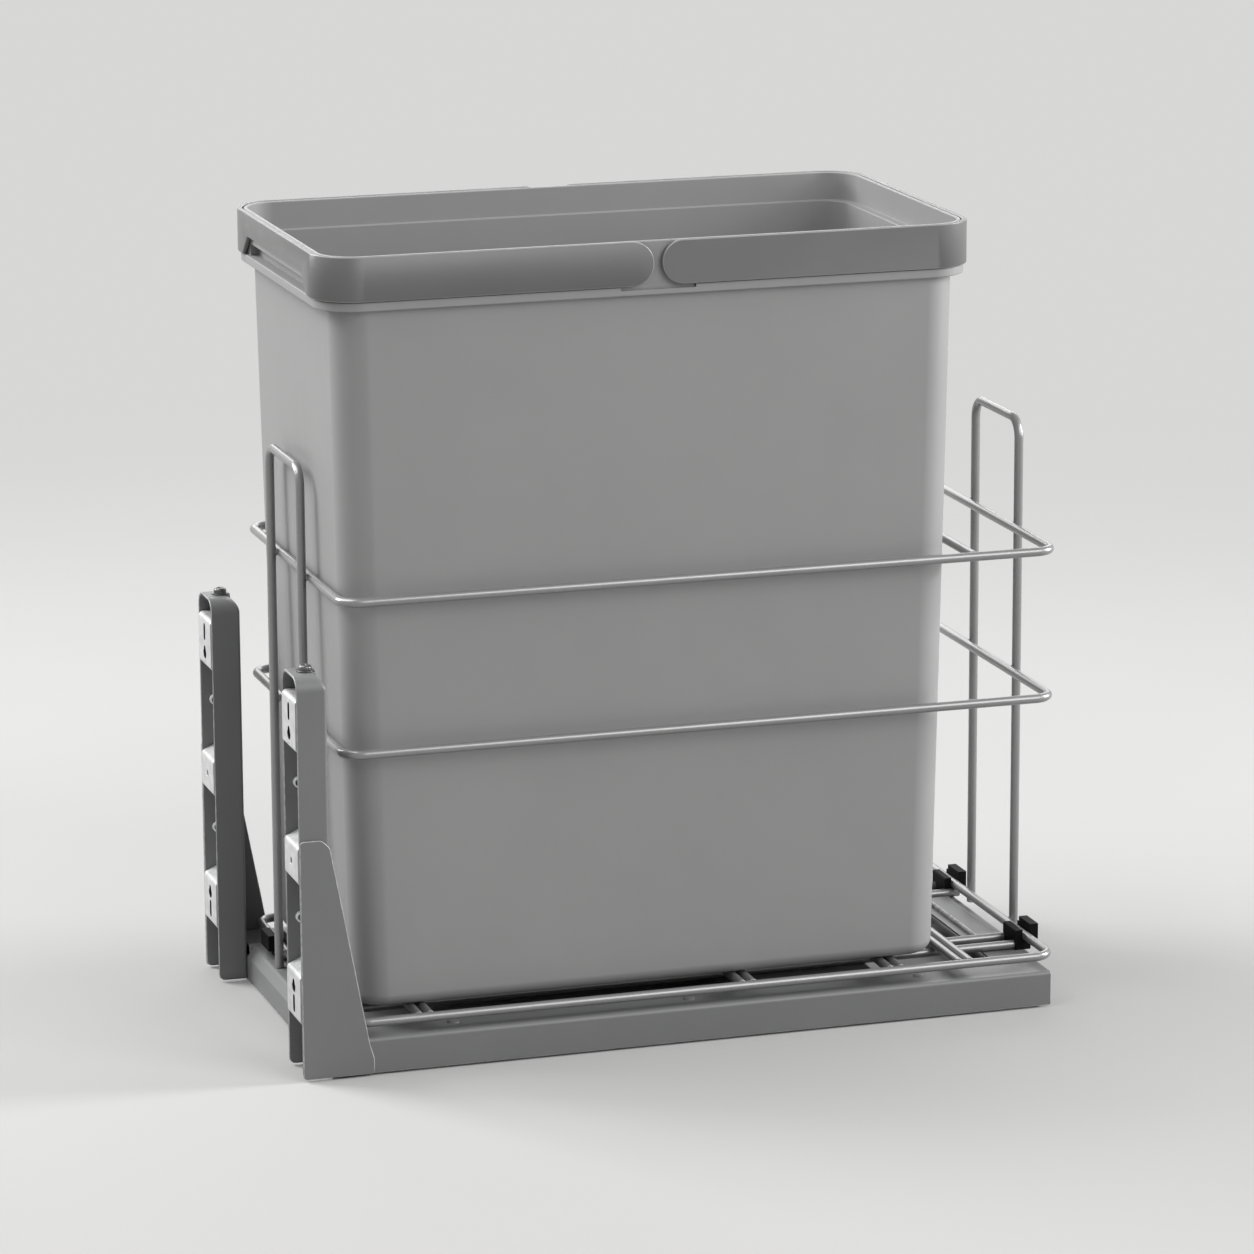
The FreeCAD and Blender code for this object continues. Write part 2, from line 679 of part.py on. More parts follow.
# ---------------------------------------------------------------- adjusting rails
def adjusting_rail():
    """Strip with three raised pads for the door and a threaded flange at the top."""
    path = [(rail_floor_y, rail_foot_z)]
    for low, high in (foot_pad_z, (middle_pad_z - middle_pad_half, middle_pad_z + middle_pad_half)):
        path += [(rail_floor_y, low - pad_slope), (pad_y, low)]
        path += [(pad_y, high), (rail_floor_y, high + pad_slope)]
    path += [(rail_floor_y, head_pad_z[0] - pad_slope), (pad_y, head_pad_z[0])]
    path += [(pad_y, head_pad_z[1]), (rail_floor_y, head_pad_z[1])]
    x = (side_x - rail_half, side_x + rail_half)
    rail = bent_sheet(path[::-1], sheet, "YZ", x)
    rail = drilled(rail, V(side_x, screw_y, head_pad_z[1]), Z_AXIS, OVER, screw_r + thread_clearance)
    holes = [(z, door_hole_r) for z in door_hole_z]
    holes += [(middle_pad_z, door_middle_hole_r), (bracket_top_z - door_pin_hole_drop, door_pin_hole_r)]
    for z, radius in holes:
        rail = drilled(rail, V(side_x, pad_y, z), Y_AXIS, OVER, radius)
    for z in door_slot_z:
        rail = rail.cut(slot(V(side_x, pad_y, z), Y_AXIS, Z_AXIS, door_slot_length, door_slot_width))
    return rail


# ---------------------------------------------------------------- small hardware
def pan_head_screw(length):
    """Screw with a cross recess: seat at the origin, head upwards and shank downwards."""
    head = Part.makeCylinder(pan_head_r, pan_head_height)
    head = head.makeFillet(pan_head_height / 2, edges_at(head, pan_head_height))
    recess_z = (pan_head_height - recess_depth, pan_head_height + OVER)
    for along, across in ((recess_span / 2, recess_width / 2), (recess_width / 2, recess_span / 2)):
        head = head.cut(block((-along, along), (-across, across), recess_z))
    return fused([head, Part.makeCylinder(screw_r, length, V(0, 0, -length))])


def height_screw():
    """Screw that hangs in the bracket's top and lifts the rail."""
    screw = pan_head_screw(height_screw_length)
    screw.translate(V(side_x, screw_y, bracket_top_z + washer_thickness))
    return screw


def ring(outer, inner, thickness, z):
    """Flat ring round the height screw."""
    disc = Part.makeCylinder(outer, thickness, V(side_x, screw_y, z))
    return disc.cut(Part.makeCylinder(inner, thickness, V(side_x, screw_y, z)))


def screw_washer():
    return ring(washer_r, screw_r + thread_clearance, washer_thickness, bracket_top_z)


def screw_retainer():
    z = bracket_top_z - sheet - retainer_gap - retainer_thickness
    return ring(retainer_r, screw_r + thread_clearance, retainer_thickness, z)


def guide_studs():
    """Short tubes inside both side walls that keep the rail back in its bracket."""
    studs = []
    for foot, inwards in stud_places():
        base = foot + inwards * stud_seat_depth
        end = base + inwards * stud_reach
        studs.append(rod(foot, end, stud_r).cut(rod(base, end, stud_socket_r)))
    return studs


def runner_rivets():
    """Rivets that hold the side channel on the runner's sledge member."""
    rivets = []
    for y in rivet_y:
        low = sledge_web_z - sheet - rivet_head_height
        foot = Part.makeCylinder(rivet_head_r, rivet_head_height, V(side_x, y, low))
        shank = Part.makeCylinder(screw_r, hood_top_z - low, V(side_x, y, low))
        head = Part.makeCylinder(rivet_head_r, rivet_head_height, V(side_x, y, hood_top_z))
        rivets.append(fused([foot, shank, head]))
    return rivets


# ---------------------------------------------------------------- ball-bearing runners
def races(half, z):
    """Cutting tools for a pair of ball races along the whole runner."""
    tools = []
    for side in (-1, 1):
        start = V(side_x + side * half, runner_front_y - OVER, z)
        tools.append(rod(start, start + Y_AXIS * (cage_length + 2 * OVER), ball_r + ball_clearance))
    return tools


def runner_member(outer_half, web_z, arm_z):
    """Open channel of sheet: a web at one height and two arms that reach to another."""
    y = (runner_front_y, runner_rear_y)
    if arm_z > web_z:
        web = (web_z, web_z + sheet)
        arms = (web_z, arm_z)
    else:
        web = (web_z - sheet, web_z)
        arms = (arm_z, web_z)
    pieces = [block((side_x - outer_half, side_x + outer_half), y, web)]
    for side in (-1, 1):
        limits = sorted((side_x + side * outer_half, side_x + side * (outer_half - sheet)))
        pieces.append(block(limits, y, arms))
    return fused(pieces)


def cabinet_member():
    """Fixed member: screwed to the cabinet floor through its web."""
    member = runner_member(runner_width / 2, 0.0, cabinet_arm_z)
    for tool in races(outer_race_half, outer_race_z):
        member = member.cut(tool)
    for y in floor_hole_y:
        member = drilled(member, V(side_x, y, 0), Z_AXIS, OVER, floor_hole_r)
    floor_slot = slot(V(side_x, floor_slot_y, 0), Z_AXIS, X_AXIS, floor_slot_length, 2 * floor_hole_r)
    return member.cut(floor_slot)


def middle_member():
    """Intermediate member: goes half as far as the sledge."""
    member = runner_member(middle_outer, middle_web_z, cabinet_arm_z)
    for tool in races(outer_race_half, outer_race_z) + races(inner_race_half, inner_race_z):
        member = member.cut(tool)
    for y in floor_hole_y + (floor_slot_y,):
        member = drilled(member, V(side_x, y, middle_web_z), Z_AXIS, OVER, access_hole_r)
    return member


def sledge_member():
    """Member under the side channel's top, riveted to it."""
    member = runner_member(sledge_outer, sledge_web_z, sledge_arm_z)
    for tool in races(inner_race_half, inner_race_z):
        member = member.cut(tool)
    for y in rivet_y:
        member = drilled(member, V(side_x, y, sledge_web_z), Z_AXIS, OVER, screw_r + rivet_clearance)
    return member


def ball_places(half, z):
    """Centres of the balls of one cage: two rows, evenly pitched about the runner's middle."""
    first = runner_mid_y - ball_pitch * (balls_per_row - 1) / 2
    rows = [side_x - half, side_x + half]
    return [V(x, first + ball_pitch * k, z) for x in rows for k in range(balls_per_row)]


def ball_cage(half, web_z, race_z):
    """Thin U-shaped strip that keeps the balls apart."""
    y = (runner_mid_y - ball_cage_length / 2, runner_mid_y + ball_cage_length / 2)
    outer = half + cage_strip / 2
    pieces = [block((side_x - outer, side_x + outer), y, (web_z, web_z + cage_strip))]
    for side in (-1, 1):
        limits = sorted((side_x + side * outer, side_x + side * (outer - cage_strip)))
        pieces.append(block(limits, y, (web_z, race_z + cage_strip_over)))
    cage = fused(pieces)
    for centre in ball_places(half, race_z):
        cage = drilled(cage, centre, X_AXIS, race_gap, ball_r + ball_clearance)
    return drilled(cage, V(side_x, floor_slot_y, web_z), Z_AXIS, 2 * cage_strip, access_hole_r)


def balls(half, z):
    return [Part.makeSphere(ball_r, centre) for centre in ball_places(half, z)]


# ---------------------------------------------------------------- bin and bails
def tapered(low_half, high_half, low_round, high_round, z):
    """Block that widens from one rounded rectangle to another."""
    low = rounded_rectangle(low_half, low_round, z[0])
    high = rounded_rectangle(high_half, high_round, z[1])
    return Part.makeLoft([low, high], True, True)


def shrunk(half, by):
    return tuple(h - by for h in half)


def pivot_pins():
    """Round pins on both long sides of the collar, one for each bail."""
    reach = collar_half[0] + band_gap + pivot_pin_length
    pins = []
    for y in pivot_y:
        for side in (-1, 1):
            start = V(side * (collar_half[0] - collar_wall / 2), y, pivot_z)
            pins.append(rod(start, V(side * reach, y, pivot_z), pivot_pin_r))
    return pins


def bin_body():
    """Tapered tub with a ledge and a collar for the bails."""
    tub = tapered(foot_half, body_half, body_round, body_round, (bin_floor_z, ledge_z[0] + weld_gap))
    tub = tub.makeFillet(foot_fillet, edges_at(tub, bin_floor_z))
    ledge = prism(shrunk(band_half, ledge_inset), band_round - ledge_inset, ledge_z)
    collar = prism(collar_half, collar_round, (ledge_z[1] - weld_gap, bin_top_z))
    collar = collar.makeFillet(lip_round, edges_at(collar, bin_top_z))
    outside = fused([tub, ledge, collar])
    rise = ledge_z[0] - bin_floor_z
    grow = [(b - f) / rise for b, f in zip(body_half, foot_half)]
    floor_inside = bin_floor_z + bin_floor
    low_half = tuple(f - bin_wall + g * bin_floor for f, g in zip(foot_half, grow))
    high_half = tuple(f - bin_wall + g * (inner_step_z - bin_floor_z) for f, g in zip(foot_half, grow))
    inside_round = body_round - bin_wall
    cavity = tapered(low_half, high_half, inside_round, inside_round, (floor_inside, inner_step_z))
    cavity = cavity.makeFillet(foot_fillet - bin_wall, edges_at(cavity, floor_inside))
    mouth_z = (inner_step_z, bin_top_z + OVER)
    mouth = prism(shrunk(collar_half, collar_wall), collar_round - collar_wall, mouth_z)
    body = outside.cut(cavity).cut(mouth)
    for side in (-1, 1):
        x = sorted((side * collar_half[0], side * (band_half[0] + OVER)))
        y = [pivot_mid_y + s for s in relief_span]
        body = body.cut(block(x, y, (ledge_z[1] - relief_depth, ledge_z[1] + relief_depth)))
        end_y = bin_centre_y + side * collar_half[1]
        pocket_y = sorted((end_y - side * pocket_depth, end_y + side * (band_thickness + band_gap)))
        pocket_z = (ledge_z[1], ledge_z[1] + pocket_height)
        body = body.cut(block((-pocket_half, pocket_half), pocket_y, pocket_z))
    return fused([body] + pivot_pins())


def bail(front):
    """Half of the band round the collar: one end wall and two arms with round ends."""
    band = prism(band_half, band_round, band_z)
    band = band.makeFillet(lip_round, edges_at(band, band_z[0]) + edges_at(band, band_z[1]))
    inside_z = (band_z[0] - OVER, band_z[1] + OVER)
    inside = prism(shrunk(band_half, band_thickness), band_round - band_thickness, inside_z)
    band = band.cut(inside)
    side = -1 if front else 1
    hinge_y = pivot_y[0] if front else pivot_y[1]
    end_y = bin_centre_y + side * (band_half[1] + OVER)
    reach = band_half[0] + OVER
    keep_block = block((-reach, reach), sorted((hinge_y, end_y)), band_z)
    keep_round = rod(V(-reach, hinge_y, pivot_z), V(reach, hinge_y, pivot_z), bail_end_r)
    shape = band.common(fused([keep_block, keep_round]))
    wall_y = bin_centre_y + side * (band_half[1] - band_thickness)
    low = band_z[0]
    corners = [
        V(-grip_half_bottom, wall_y, low - grip_round),
        V(grip_half_bottom, wall_y, low - grip_round),
        V(grip_half_bottom, wall_y, low),
        V(grip_half_top, wall_y, low + grip_height),
        V(-grip_half_top, wall_y, low + grip_height),
        V(-grip_half_bottom, wall_y, low),
    ]
    outline = rounded_outline(corners, [0, 0, 0, grip_round, grip_round, 0])
    grip = Part.Face(outline).extrude(Y_AXIS * (2 * OVER))
    grip.translate(V(0, -OVER, 0))
    shape = shape.cut(grip)
    inner_x = band_half[0] - band_thickness
    for x_side in (-1, 1):
        start = V(x_side * (inner_x - OVER), hinge_y, pivot_z)
        end = V(x_side * (inner_x + pivot_pin_length + pivot_pin_end_gap), hinge_y, pivot_z)
        shape = shape.cut(rod(start, end, pivot_pin_r + pivot_pin_clearance))
    return shape


# ---------------------------------------------------------------- the nodes
def mirrored_pair(name, make):
    """Right-hand node and its mirrored left-hand twin; a list of solids stays a group."""
    shape = make()
    if isinstance(shape, list):
        return {name + "_right": shape, name + "_left": [mirrored(s) for s in shape]}
    return {name + "_right": [shape], name + "_left": [mirrored(shape)]}


nodes = {
    "front_cross_bar": [front_cross_bar()],
    "middle_cross_member": [middle_cross_member()],
    "rear_cross_member": [rear_cross_member()],
    "upper_ring": [wire_loop(ring_half, upper_ring_z)],
    "lower_ring": [wire_loop(ring_half, lower_ring_z)],
    "basket_rim": [wire_loop(rim_half, rim_z)],
    "ring_cross_wire": [ring_cross_wire()],
    "front_upright": [upright(upright_front_y)],
    "rear_upright": [upright(upright_rear_y)],
    "basket_long_wires": long_wires(),
    "basket_cross_wires": cross_wires(),
    "bin_body": [bin_body()],
    "front_bail": [bail(True)],
    "rear_bail": [bail(False)],
}
pairs = {
    "side_channel": side_channel,
    "door_bracket": door_bracket,
    "gusset": gusset,
    "adjusting_rail": adjusting_rail,
    "height_screw": height_screw,
    "screw_washer": screw_washer,
    "screw_retainer": screw_retainer,
    "guide_studs": guide_studs,
    "runner_rivets": runner_rivets,
    "cabinet_member": cabinet_member,
    "middle_member": middle_member,
    "sledge_member": sledge_member,
    "outer_ball_cage": lambda: ball_cage(outer_race_half, outer_cage_z, outer_race_z),
    "inner_ball_cage": lambda: ball_cage(inner_race_half, inner_cage_z, inner_race_z),
    "outer_balls": lambda: balls(outer_race_half, outer_race_z),
    "inner_balls": lambda: balls(inner_race_half, inner_race_z),
    "rim_clip_front": lambda: rim_clip(False),
    "rim_clip_rear": lambda: rim_clip(True),
}
for name, make in pairs.items():
    nodes.update(mirrored_pair(name, make))

os.makedirs("parts", exist_ok=True)
for name, solids in nodes.items():
    shape = solids[0] if len(solids) == 1 else Part.makeCompound(solids)
    shape.exportStep(f"parts/{name}.step")
    box = shape.BoundBox
    spans = [(box.XMin, box.XMax), (box.YMin, box.YMax), (box.ZMin, box.ZMax)]
    limits = " ".join(f"{low:7.1f} {high:7.1f}" for low, high in spans)
    print(f"{name:24s} solids {len(shape.Solids):2d} valid {shape.isValid()} {limits}")
print("nodes", len(nodes))
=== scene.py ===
# %% [markdown]
# # A pull-out bin for a kitchen base unit
#
# The object is a tapered grey tub that stands in a wire cage. The cage is welded to pressed steel channels that
# hide two ball-bearing runners, and two upright brackets at the front carry the cabinet door. The sizes come from
# a CAD model that is loaded first. Everything below is drawn in the same frame, in metres: Z up, the door towards
# -Y, and X = 0 as the mirror plane.

# %% Load the frame and look at its size
import json
import math
import bmesh
import bpy
from mathutils import Matrix, Vector

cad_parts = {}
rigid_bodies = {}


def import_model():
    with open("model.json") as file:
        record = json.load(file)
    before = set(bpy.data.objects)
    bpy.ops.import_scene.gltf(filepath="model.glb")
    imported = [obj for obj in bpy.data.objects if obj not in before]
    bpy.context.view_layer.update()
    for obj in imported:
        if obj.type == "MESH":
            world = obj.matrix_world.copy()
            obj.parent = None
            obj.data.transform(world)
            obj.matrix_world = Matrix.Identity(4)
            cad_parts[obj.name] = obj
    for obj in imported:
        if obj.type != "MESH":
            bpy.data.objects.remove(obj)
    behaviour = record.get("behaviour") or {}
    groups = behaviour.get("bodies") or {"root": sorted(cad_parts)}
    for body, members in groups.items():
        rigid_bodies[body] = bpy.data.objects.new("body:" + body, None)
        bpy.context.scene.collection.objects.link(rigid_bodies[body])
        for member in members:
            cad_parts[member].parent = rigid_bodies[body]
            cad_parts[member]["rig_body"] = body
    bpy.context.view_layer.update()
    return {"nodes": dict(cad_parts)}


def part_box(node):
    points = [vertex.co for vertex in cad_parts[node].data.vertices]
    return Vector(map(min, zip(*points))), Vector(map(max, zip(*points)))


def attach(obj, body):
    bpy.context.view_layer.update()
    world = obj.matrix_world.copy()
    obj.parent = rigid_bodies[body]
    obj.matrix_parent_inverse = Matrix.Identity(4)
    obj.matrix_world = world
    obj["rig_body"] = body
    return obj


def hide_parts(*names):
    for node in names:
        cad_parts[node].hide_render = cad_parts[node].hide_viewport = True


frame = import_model()
MM = 0.001

# %% [markdown]
# ## Node trees as Python
#
# Blender's materials and Geometry Nodes are both graphs of nodes. Drawing a link for every sum would bury the idea,
# so one small class wraps a socket and overloads the arithmetic signs: `1 - mask * 0.3` adds the Math nodes by
# itself. Any other node comes from one method that takes the node's type, its settings and its inputs.

# %% A signal, and the graph that it runs through
class Signal:
    """A value on its way through a node tree."""

    def __init__(self, graph, socket):
        self.graph = graph
        self.socket = socket

    def joined(self, operation, other, swapped=False):
        first, second = (other, self) if swapped else (self, other)
        node = self.graph.node("ShaderNodeMath", {"operation": operation}, {0: first, 1: second})
        return Signal(self.graph, node.outputs[0])

    def __add__(self, other):
        return self.joined("ADD", other)

    def __sub__(self, other):
        return self.joined("SUBTRACT", other)

    def __rsub__(self, other):
        return self.joined("SUBTRACT", other, swapped=True)

    def __mul__(self, other):
        return self.joined("MULTIPLY", other)

    __radd__ = __add__
    __rmul__ = __mul__

    def ramp(self, low, high):
        """0 below low, 1 above high, and a smooth step between them."""
        settings = {"interpolation_type": "SMOOTHSTEP"}
        node = self.graph.node("ShaderNodeMapRange", settings, {0: self, 1: low, 2: high})
        return Signal(self.graph, node.outputs[0])


class Graph:
    """Adds nodes to one tree."""

    def __init__(self, tree):
        self.tree = tree

    def node(self, kind, settings=None, inputs=None):
        made = self.tree.nodes.new(kind)
        for name, value in (settings or {}).items():
            setattr(made, name, value)
        for key, value in (inputs or {}).items():
            if isinstance(value, Signal):
                value = value.socket
            if isinstance(value, bpy.types.NodeSocket):
                self.tree.links.new(value, made.inputs[key])
            else:
                made.inputs[key].default_value = value
        return made


# %% [markdown]
# ## Finishes
#
# Every finish is a Principled shader whose colour, roughness and bump vary a little over the surface. The patterns
# read Object coordinates, so they have a real size: a noise of scale 1000 has cells of about one millimetre. The
# pieces' bevelled edges carry an attribute that is 1 along the ridge and 0 beside it. The finishes use it to paint a
# highlight along the ridge: the colour is painted lighter there, and the roughness is a little lower. Another
# attribute marks the walls of holes, which get a painted shade, nearly black.

# %% One finish
class Finish(Graph):
    """A material with a Principled shader."""

    # A Mix node has hidden sockets for numbers and vectors, so those for colours go by their place in the list.
    MIX_FACTOR, MIX_FIRST, MIX_SECOND, MIX_RESULT = 0, 6, 7, 2

    def __init__(self, name, **constants):
        self.material = bpy.data.materials.new(name)
        self.material.use_nodes = True
        super().__init__(self.material.node_tree)
        self.shader = self.tree.nodes["Principled BSDF"]
        for socket, value in constants.items():
            self.shader.inputs[socket.replace("_", " ")].default_value = value
        self.place = self.node("ShaderNodeTexCoord").outputs["Object"]

    def noise(self, scale, detail=2.0, stretch=None):
        """Smooth noise between 0 and 1; stretch squeezes it along the axes."""
        place = self.place
        if stretch:
            place = self.node("ShaderNodeMapping", None, {"Vector": place, "Scale": stretch}).outputs[0]
        inputs = {"Vector": place, "Scale": scale, "Detail": detail}
        return Signal(self, self.node("ShaderNodeTexNoise", None, inputs).outputs[0])

    def cells(self, scale):
        """Distance to the nearest of scattered points, for grains and flakes."""
        inputs = {"Vector": self.place, "Scale": scale}
        return Signal(self, self.node("ShaderNodeTexVoronoi", None, inputs).outputs["Distance"])

    def marked(self, name):
        """A number that the mesh carries, such as a ridge's painted highlight or a hole wall's painted shade; 0
        where it has none of that name.
        """
        return Signal(self, self.node("ShaderNodeAttribute", {"attribute_name": name}).outputs["Fac"])

    def colour(self, mask, first, second):
        """First colour where the mask is 0, second where it is 1."""
        inputs = {self.MIX_FACTOR: mask, self.MIX_FIRST: first, self.MIX_SECOND: second}
        return self.node("ShaderNodeMix", {"data_type": "RGBA"}, inputs).outputs[self.MIX_RESULT]

    def finish(self, colour, roughness, height, depth):
        """Connect colour, roughness and a bump whose full height is depth metres."""
        bump = self.node("ShaderNodeBump", None, {"Height": height, "Distance": depth, "Strength": 1.0})
        for socket, value in (("Base Color", colour), ("Normal", bump.outputs[0])):
            self.tree.links.new(value, self.shader.inputs[socket])
        self.tree.links.new(roughness.socket, self.shader.inputs["Roughness"])
        print("finish", self.material.name, "nodes", len(self.tree.nodes))
        return self.material


def grey(value, warmth=0.0):
    """A grey as a linear colour; warmth above 0 leans to red and below to blue."""
    return (value * (1 + warmth), value, value * (1 - warmth), 1.0)


# %% [markdown]
# ### The tub's plastic
#
# The mould of such a tub is spark-eroded, which leaves a fine pebbled grain that scatters light and hides
# scratches. Two noises make it: the grain, a third of a millimetre across, and a slow cloud of a few centimetres,
# since a large wall never cools evenly. A few faint rubbed patches vary the roughness.

# %% Tub plastic
def tub_finish():
    look = Finish("tub_plastic", IOR=1.48)
    grain = look.noise(2600.0, 3.0)
    cloud = look.noise(14.0, 3.0)
    rubbed = look.noise(46.0, 4.0, (1.0, 1.0, 0.35)).ramp(0.56, 0.75)
    # Painted highlight: marked ridges are painted a lighter grey.
    edge = look.marked("worn") * (0.75 + look.noise(60.0).ramp(0.35, 0.6) * 0.25)
    shade = look.colour(cloud, grey(0.232), grey(0.262))
    shade = look.colour(edge * 0.6, shade, grey(0.44))
    roughness = 0.47 + grain * 0.08 - rubbed * 0.07 - edge * 0.05
    return look.finish(shade, roughness, grain + cloud * 2.0, 0.000008)


tub_plastic = tub_finish()

# %% [markdown]
# ### The bails' plastic
#
# The two handles round the collar come from another mould with a smoother, silkier surface, and the plastic is a
# darker grey. Its grain is finer and shallower, so highlights stay tighter than on the tub.

# %% Bail plastic
def bail_finish():
    look = Finish("handle_plastic", IOR=1.48)
    grain = look.noise(3400.0, 2.0)
    cloud = look.noise(22.0, 2.0)
    rubbed = look.noise(70.0, 4.0, (0.5, 0.5, 1.6)).ramp(0.55, 0.72)
    # Painted highlight: the bevelled edges are painted a lighter grey.
    edge = look.marked("worn") * (0.7 + look.noise(80.0).ramp(0.3, 0.6) * 0.3)
    shade = look.colour(cloud, grey(0.122), grey(0.138))
    shade = look.colour(edge * 0.7, shade, grey(0.34))
    roughness = 0.40 + grain * 0.05 - rubbed * 0.06 - edge * 0.06
    return look.finish(shade, roughness, grain, 0.000005)


bail_plastic = bail_finish()

# %% [markdown]
# ### Powder coat on sheet metal
#
# Powder is sprayed on dry and melts in an oven. It flows out into a skin with a slight orange peel, about two
# millimetres from crest to crest, and thins over sharp edges. A second, finer noise gives the sparkle of the
# pigment, and the ridge of each fold gets a painted highlight, a lighter grey.

# %% Powder coat
def powder_finish():
    look = Finish("powder_coat", IOR=1.5)
    peel = look.noise(520.0, 2.0)
    fleck = look.noise(4200.0, 1.0)
    cloud = look.noise(18.0, 3.0)
    # Painted highlight: each bevelled ridge is painted a lighter grey.
    edge = look.marked("worn") * (0.45 + look.noise(240.0, 4.0).ramp(0.38, 0.62) * 0.55)
    shade = look.colour(cloud, grey(0.142, -0.01), grey(0.166, -0.01))
    shade = look.colour(fleck.ramp(0.62, 0.8) * 0.35, shade, grey(0.22))
    shade = look.colour(edge * 0.85, shade, grey(0.55))
    roughness = 0.40 + cloud * 0.08 + fleck * 0.04 - edge * 0.1
    return look.finish(shade, roughness, peel + fleck * 0.2, 0.00004)


powder_coat = powder_finish()

# %% [markdown]
# ### The wire's coat
#
# The wire is coated in a silver paint. Its flakes lie flat in the lacquer, so it is half a metal: bright along the
# top of each wire and dark below. Drawing the wire through its die leaves faint lines, which the thin coat hides.

# %% Wire coat
def wire_finish():
    look = Finish("wire_coat", Metallic=0.55, IOR=1.5)
    flake = look.cells(2200.0)
    cloud = look.noise(30.0, 3.0)
    shade = look.colour(cloud, grey(0.20), grey(0.25))
    shade = look.colour(flake * 0.5, shade, grey(0.34))
    roughness = 0.24 + cloud * 0.06 + flake * 0.06
    return look.finish(shade, roughness, flake + look.noise(400.0) * 2.0, 0.000008)


wire_coat = wire_finish()

# %% [markdown]
# ### Zinc
#
# The adjusting rails and studs are plated with bright zinc. The plating is nearly white, with soft blotches where
# the bath left it thicker, and the sheet's rolling marks show through as short streaks along the strip. Bevelled
# ridges get a painted highlight, a lighter zinc. The walls of punched holes and the bores of the studs get a
# painted shade and are nearly black. The screws are plated too, but they are harder steel with a darker, tighter
# shine, and the studs' ends are the whitest.

# %% Zinc plate and screw steel
def zinc_finish(name, low, high, rough, metallic):
    look = Finish(name, Metallic=metallic, IOR=1.6)
    blotch = look.noise(150.0, 4.0)
    streak = look.noise(900.0, 2.0, (1.0, 1.0, 0.08))
    # Painted highlight: the bevelled ridges are painted a lighter zinc.
    edge = look.marked("worn")
    shade = look.colour(blotch.ramp(0.3, 0.7), grey(low, -0.01), grey(high))
    shade = look.colour(edge * 0.5, shade, grey(min(high + 0.12, 0.88)))
    # Painted shade: the walls of holes are painted nearly black, and rougher.
    raw = look.marked("raw")
    shade = look.colour(raw, shade, grey(0.012))
    roughness = rough + blotch * 0.12 + streak * 0.06 - edge * 0.08 + raw * 0.25
    return look.finish(shade, roughness, streak + blotch * 0.5, 0.000012)


zinc_plate = zinc_finish("bright_zinc", 0.46, 0.56, 0.34, 0.4)
screw_steel = zinc_finish("screw_steel", 0.10, 0.16, 0.2, 0.8)
stud_zinc = zinc_finish("stud_zinc", 0.80, 0.88, 0.30, 0.2)

# %% [markdown]
# ### Runner steel, ball steel and clip plastic
#
# The runners are hidden until the unit is pulled out. Their steel is duller than the fresh zinc and carries a film
# of grease that collects in patches. The balls are polished. The clips are black nylon with a light sheen.

# %% Runner steel
def runner_finish():
    look = Finish("greased_steel", Metallic=0.85, IOR=1.6)
    grease = look.noise(60.0, 4.0).ramp(0.45, 0.7)
    streak = look.noise(700.0, 2.0, (1.0, 0.04, 1.0))
    shade = look.colour(grease, grey(0.50, -0.01), grey(0.36, 0.03))
    roughness = 0.34 + streak * 0.12 - grease * 0.12
    return look.finish(shade, roughness, streak, 0.000015)


def ball_finish():
    look = Finish("polished_steel", Metallic=1.0)
    film = look.noise(900.0, 3.0)
    shade = look.colour(film, grey(0.66, -0.01), grey(0.74))
    return look.finish(shade, 0.1 + film * 0.1, film, 0.000002)


def clip_finish():
    look = Finish("black_nylon", IOR=1.4, Specular_IOR_Level=0.06)
    grain = look.noise(2400.0, 2.0)
    # Painted highlight: the bevelled ridges are painted a little lighter.
    edge = look.marked("worn")
    shade = look.colour(look.noise(90.0), grey(0.005), grey(0.009))
    shade = look.colour(edge * 0.5, shade, grey(0.03))
    return look.finish(shade, 0.46 + grain * 0.1, grain, 0.00001)


runner_steel = runner_finish()
ball_steel = ball_finish()
clip_plastic = clip_finish()

# %% [markdown]
# ## Making and fitting pieces
#
# A finished piece is a plain mesh at the origin that rides on one body of the CAD model and stands for the nodes
# that it replaces. These helpers freeze modifiers, round off edges and fit a piece into the frame.

# %% Objects from meshes, and frozen modifiers
collection = bpy.context.scene.collection


def thing(name, bm):
    """An object with the geometry of a bmesh."""
    mesh = bpy.data.meshes.new(name)
    bm.to_mesh(mesh)
    bm.free()
    made = bpy.data.objects.new(name, mesh)
    collection.objects.link(made)
    return made


def quads(bm, rows, closed=True):
    """Faces between each row of points and the next; a closed row joins its last point to its first."""
    for first, second in zip(rows, rows[1:]):
        count = len(first)
        for i in range(count if closed else count - 1):
            j = (i + 1) % count
            bm.faces.new((first[i], first[j], second[j], second[i]))


def frozen(source):
    """The object with its modifiers turned into plain geometry."""
    name = source.name
    depsgraph = bpy.context.evaluated_depsgraph_get()
    mesh = bpy.data.meshes.new_from_object(source.evaluated_get(depsgraph), depsgraph=depsgraph)
    bpy.data.objects.remove(source)
    made = bpy.data.objects.new(name, mesh)
    collection.objects.link(made)
    return made


def combined(first, tools, operation):
    """Boolean of one solid with others, which are used up."""
    for tool in tools:
        step = first.modifiers.new("step", "BOOLEAN")
        step.operation = operation
        step.solver = "EXACT"
        step.object = tool
    made = frozen(first)
    for tool in tools:
        bpy.data.objects.remove(tool)
    return made


# %% [markdown]
# Real edges are never knife sharp. A pressed or moulded piece has a small radius on each edge, and that radius is
# what catches the light and makes an object look real. The Bevel modifier adds it. A fold in sheet metal has a
# larger radius than a cut edge, so the width comes from bevel weights: an edge whose two faces are both wider than
# the sheet is thick is a fold. The bevel's own faces get a second material number, which shows afterwards where
# the ridges are.

# %% Rounded edges with a highlighted ridge
SHARP = math.radians(30.0)
SMOOTH = math.radians(52.0)
FOLD_WIDTH = 1.3
FOLD_LENGTH = 20.0 * MM


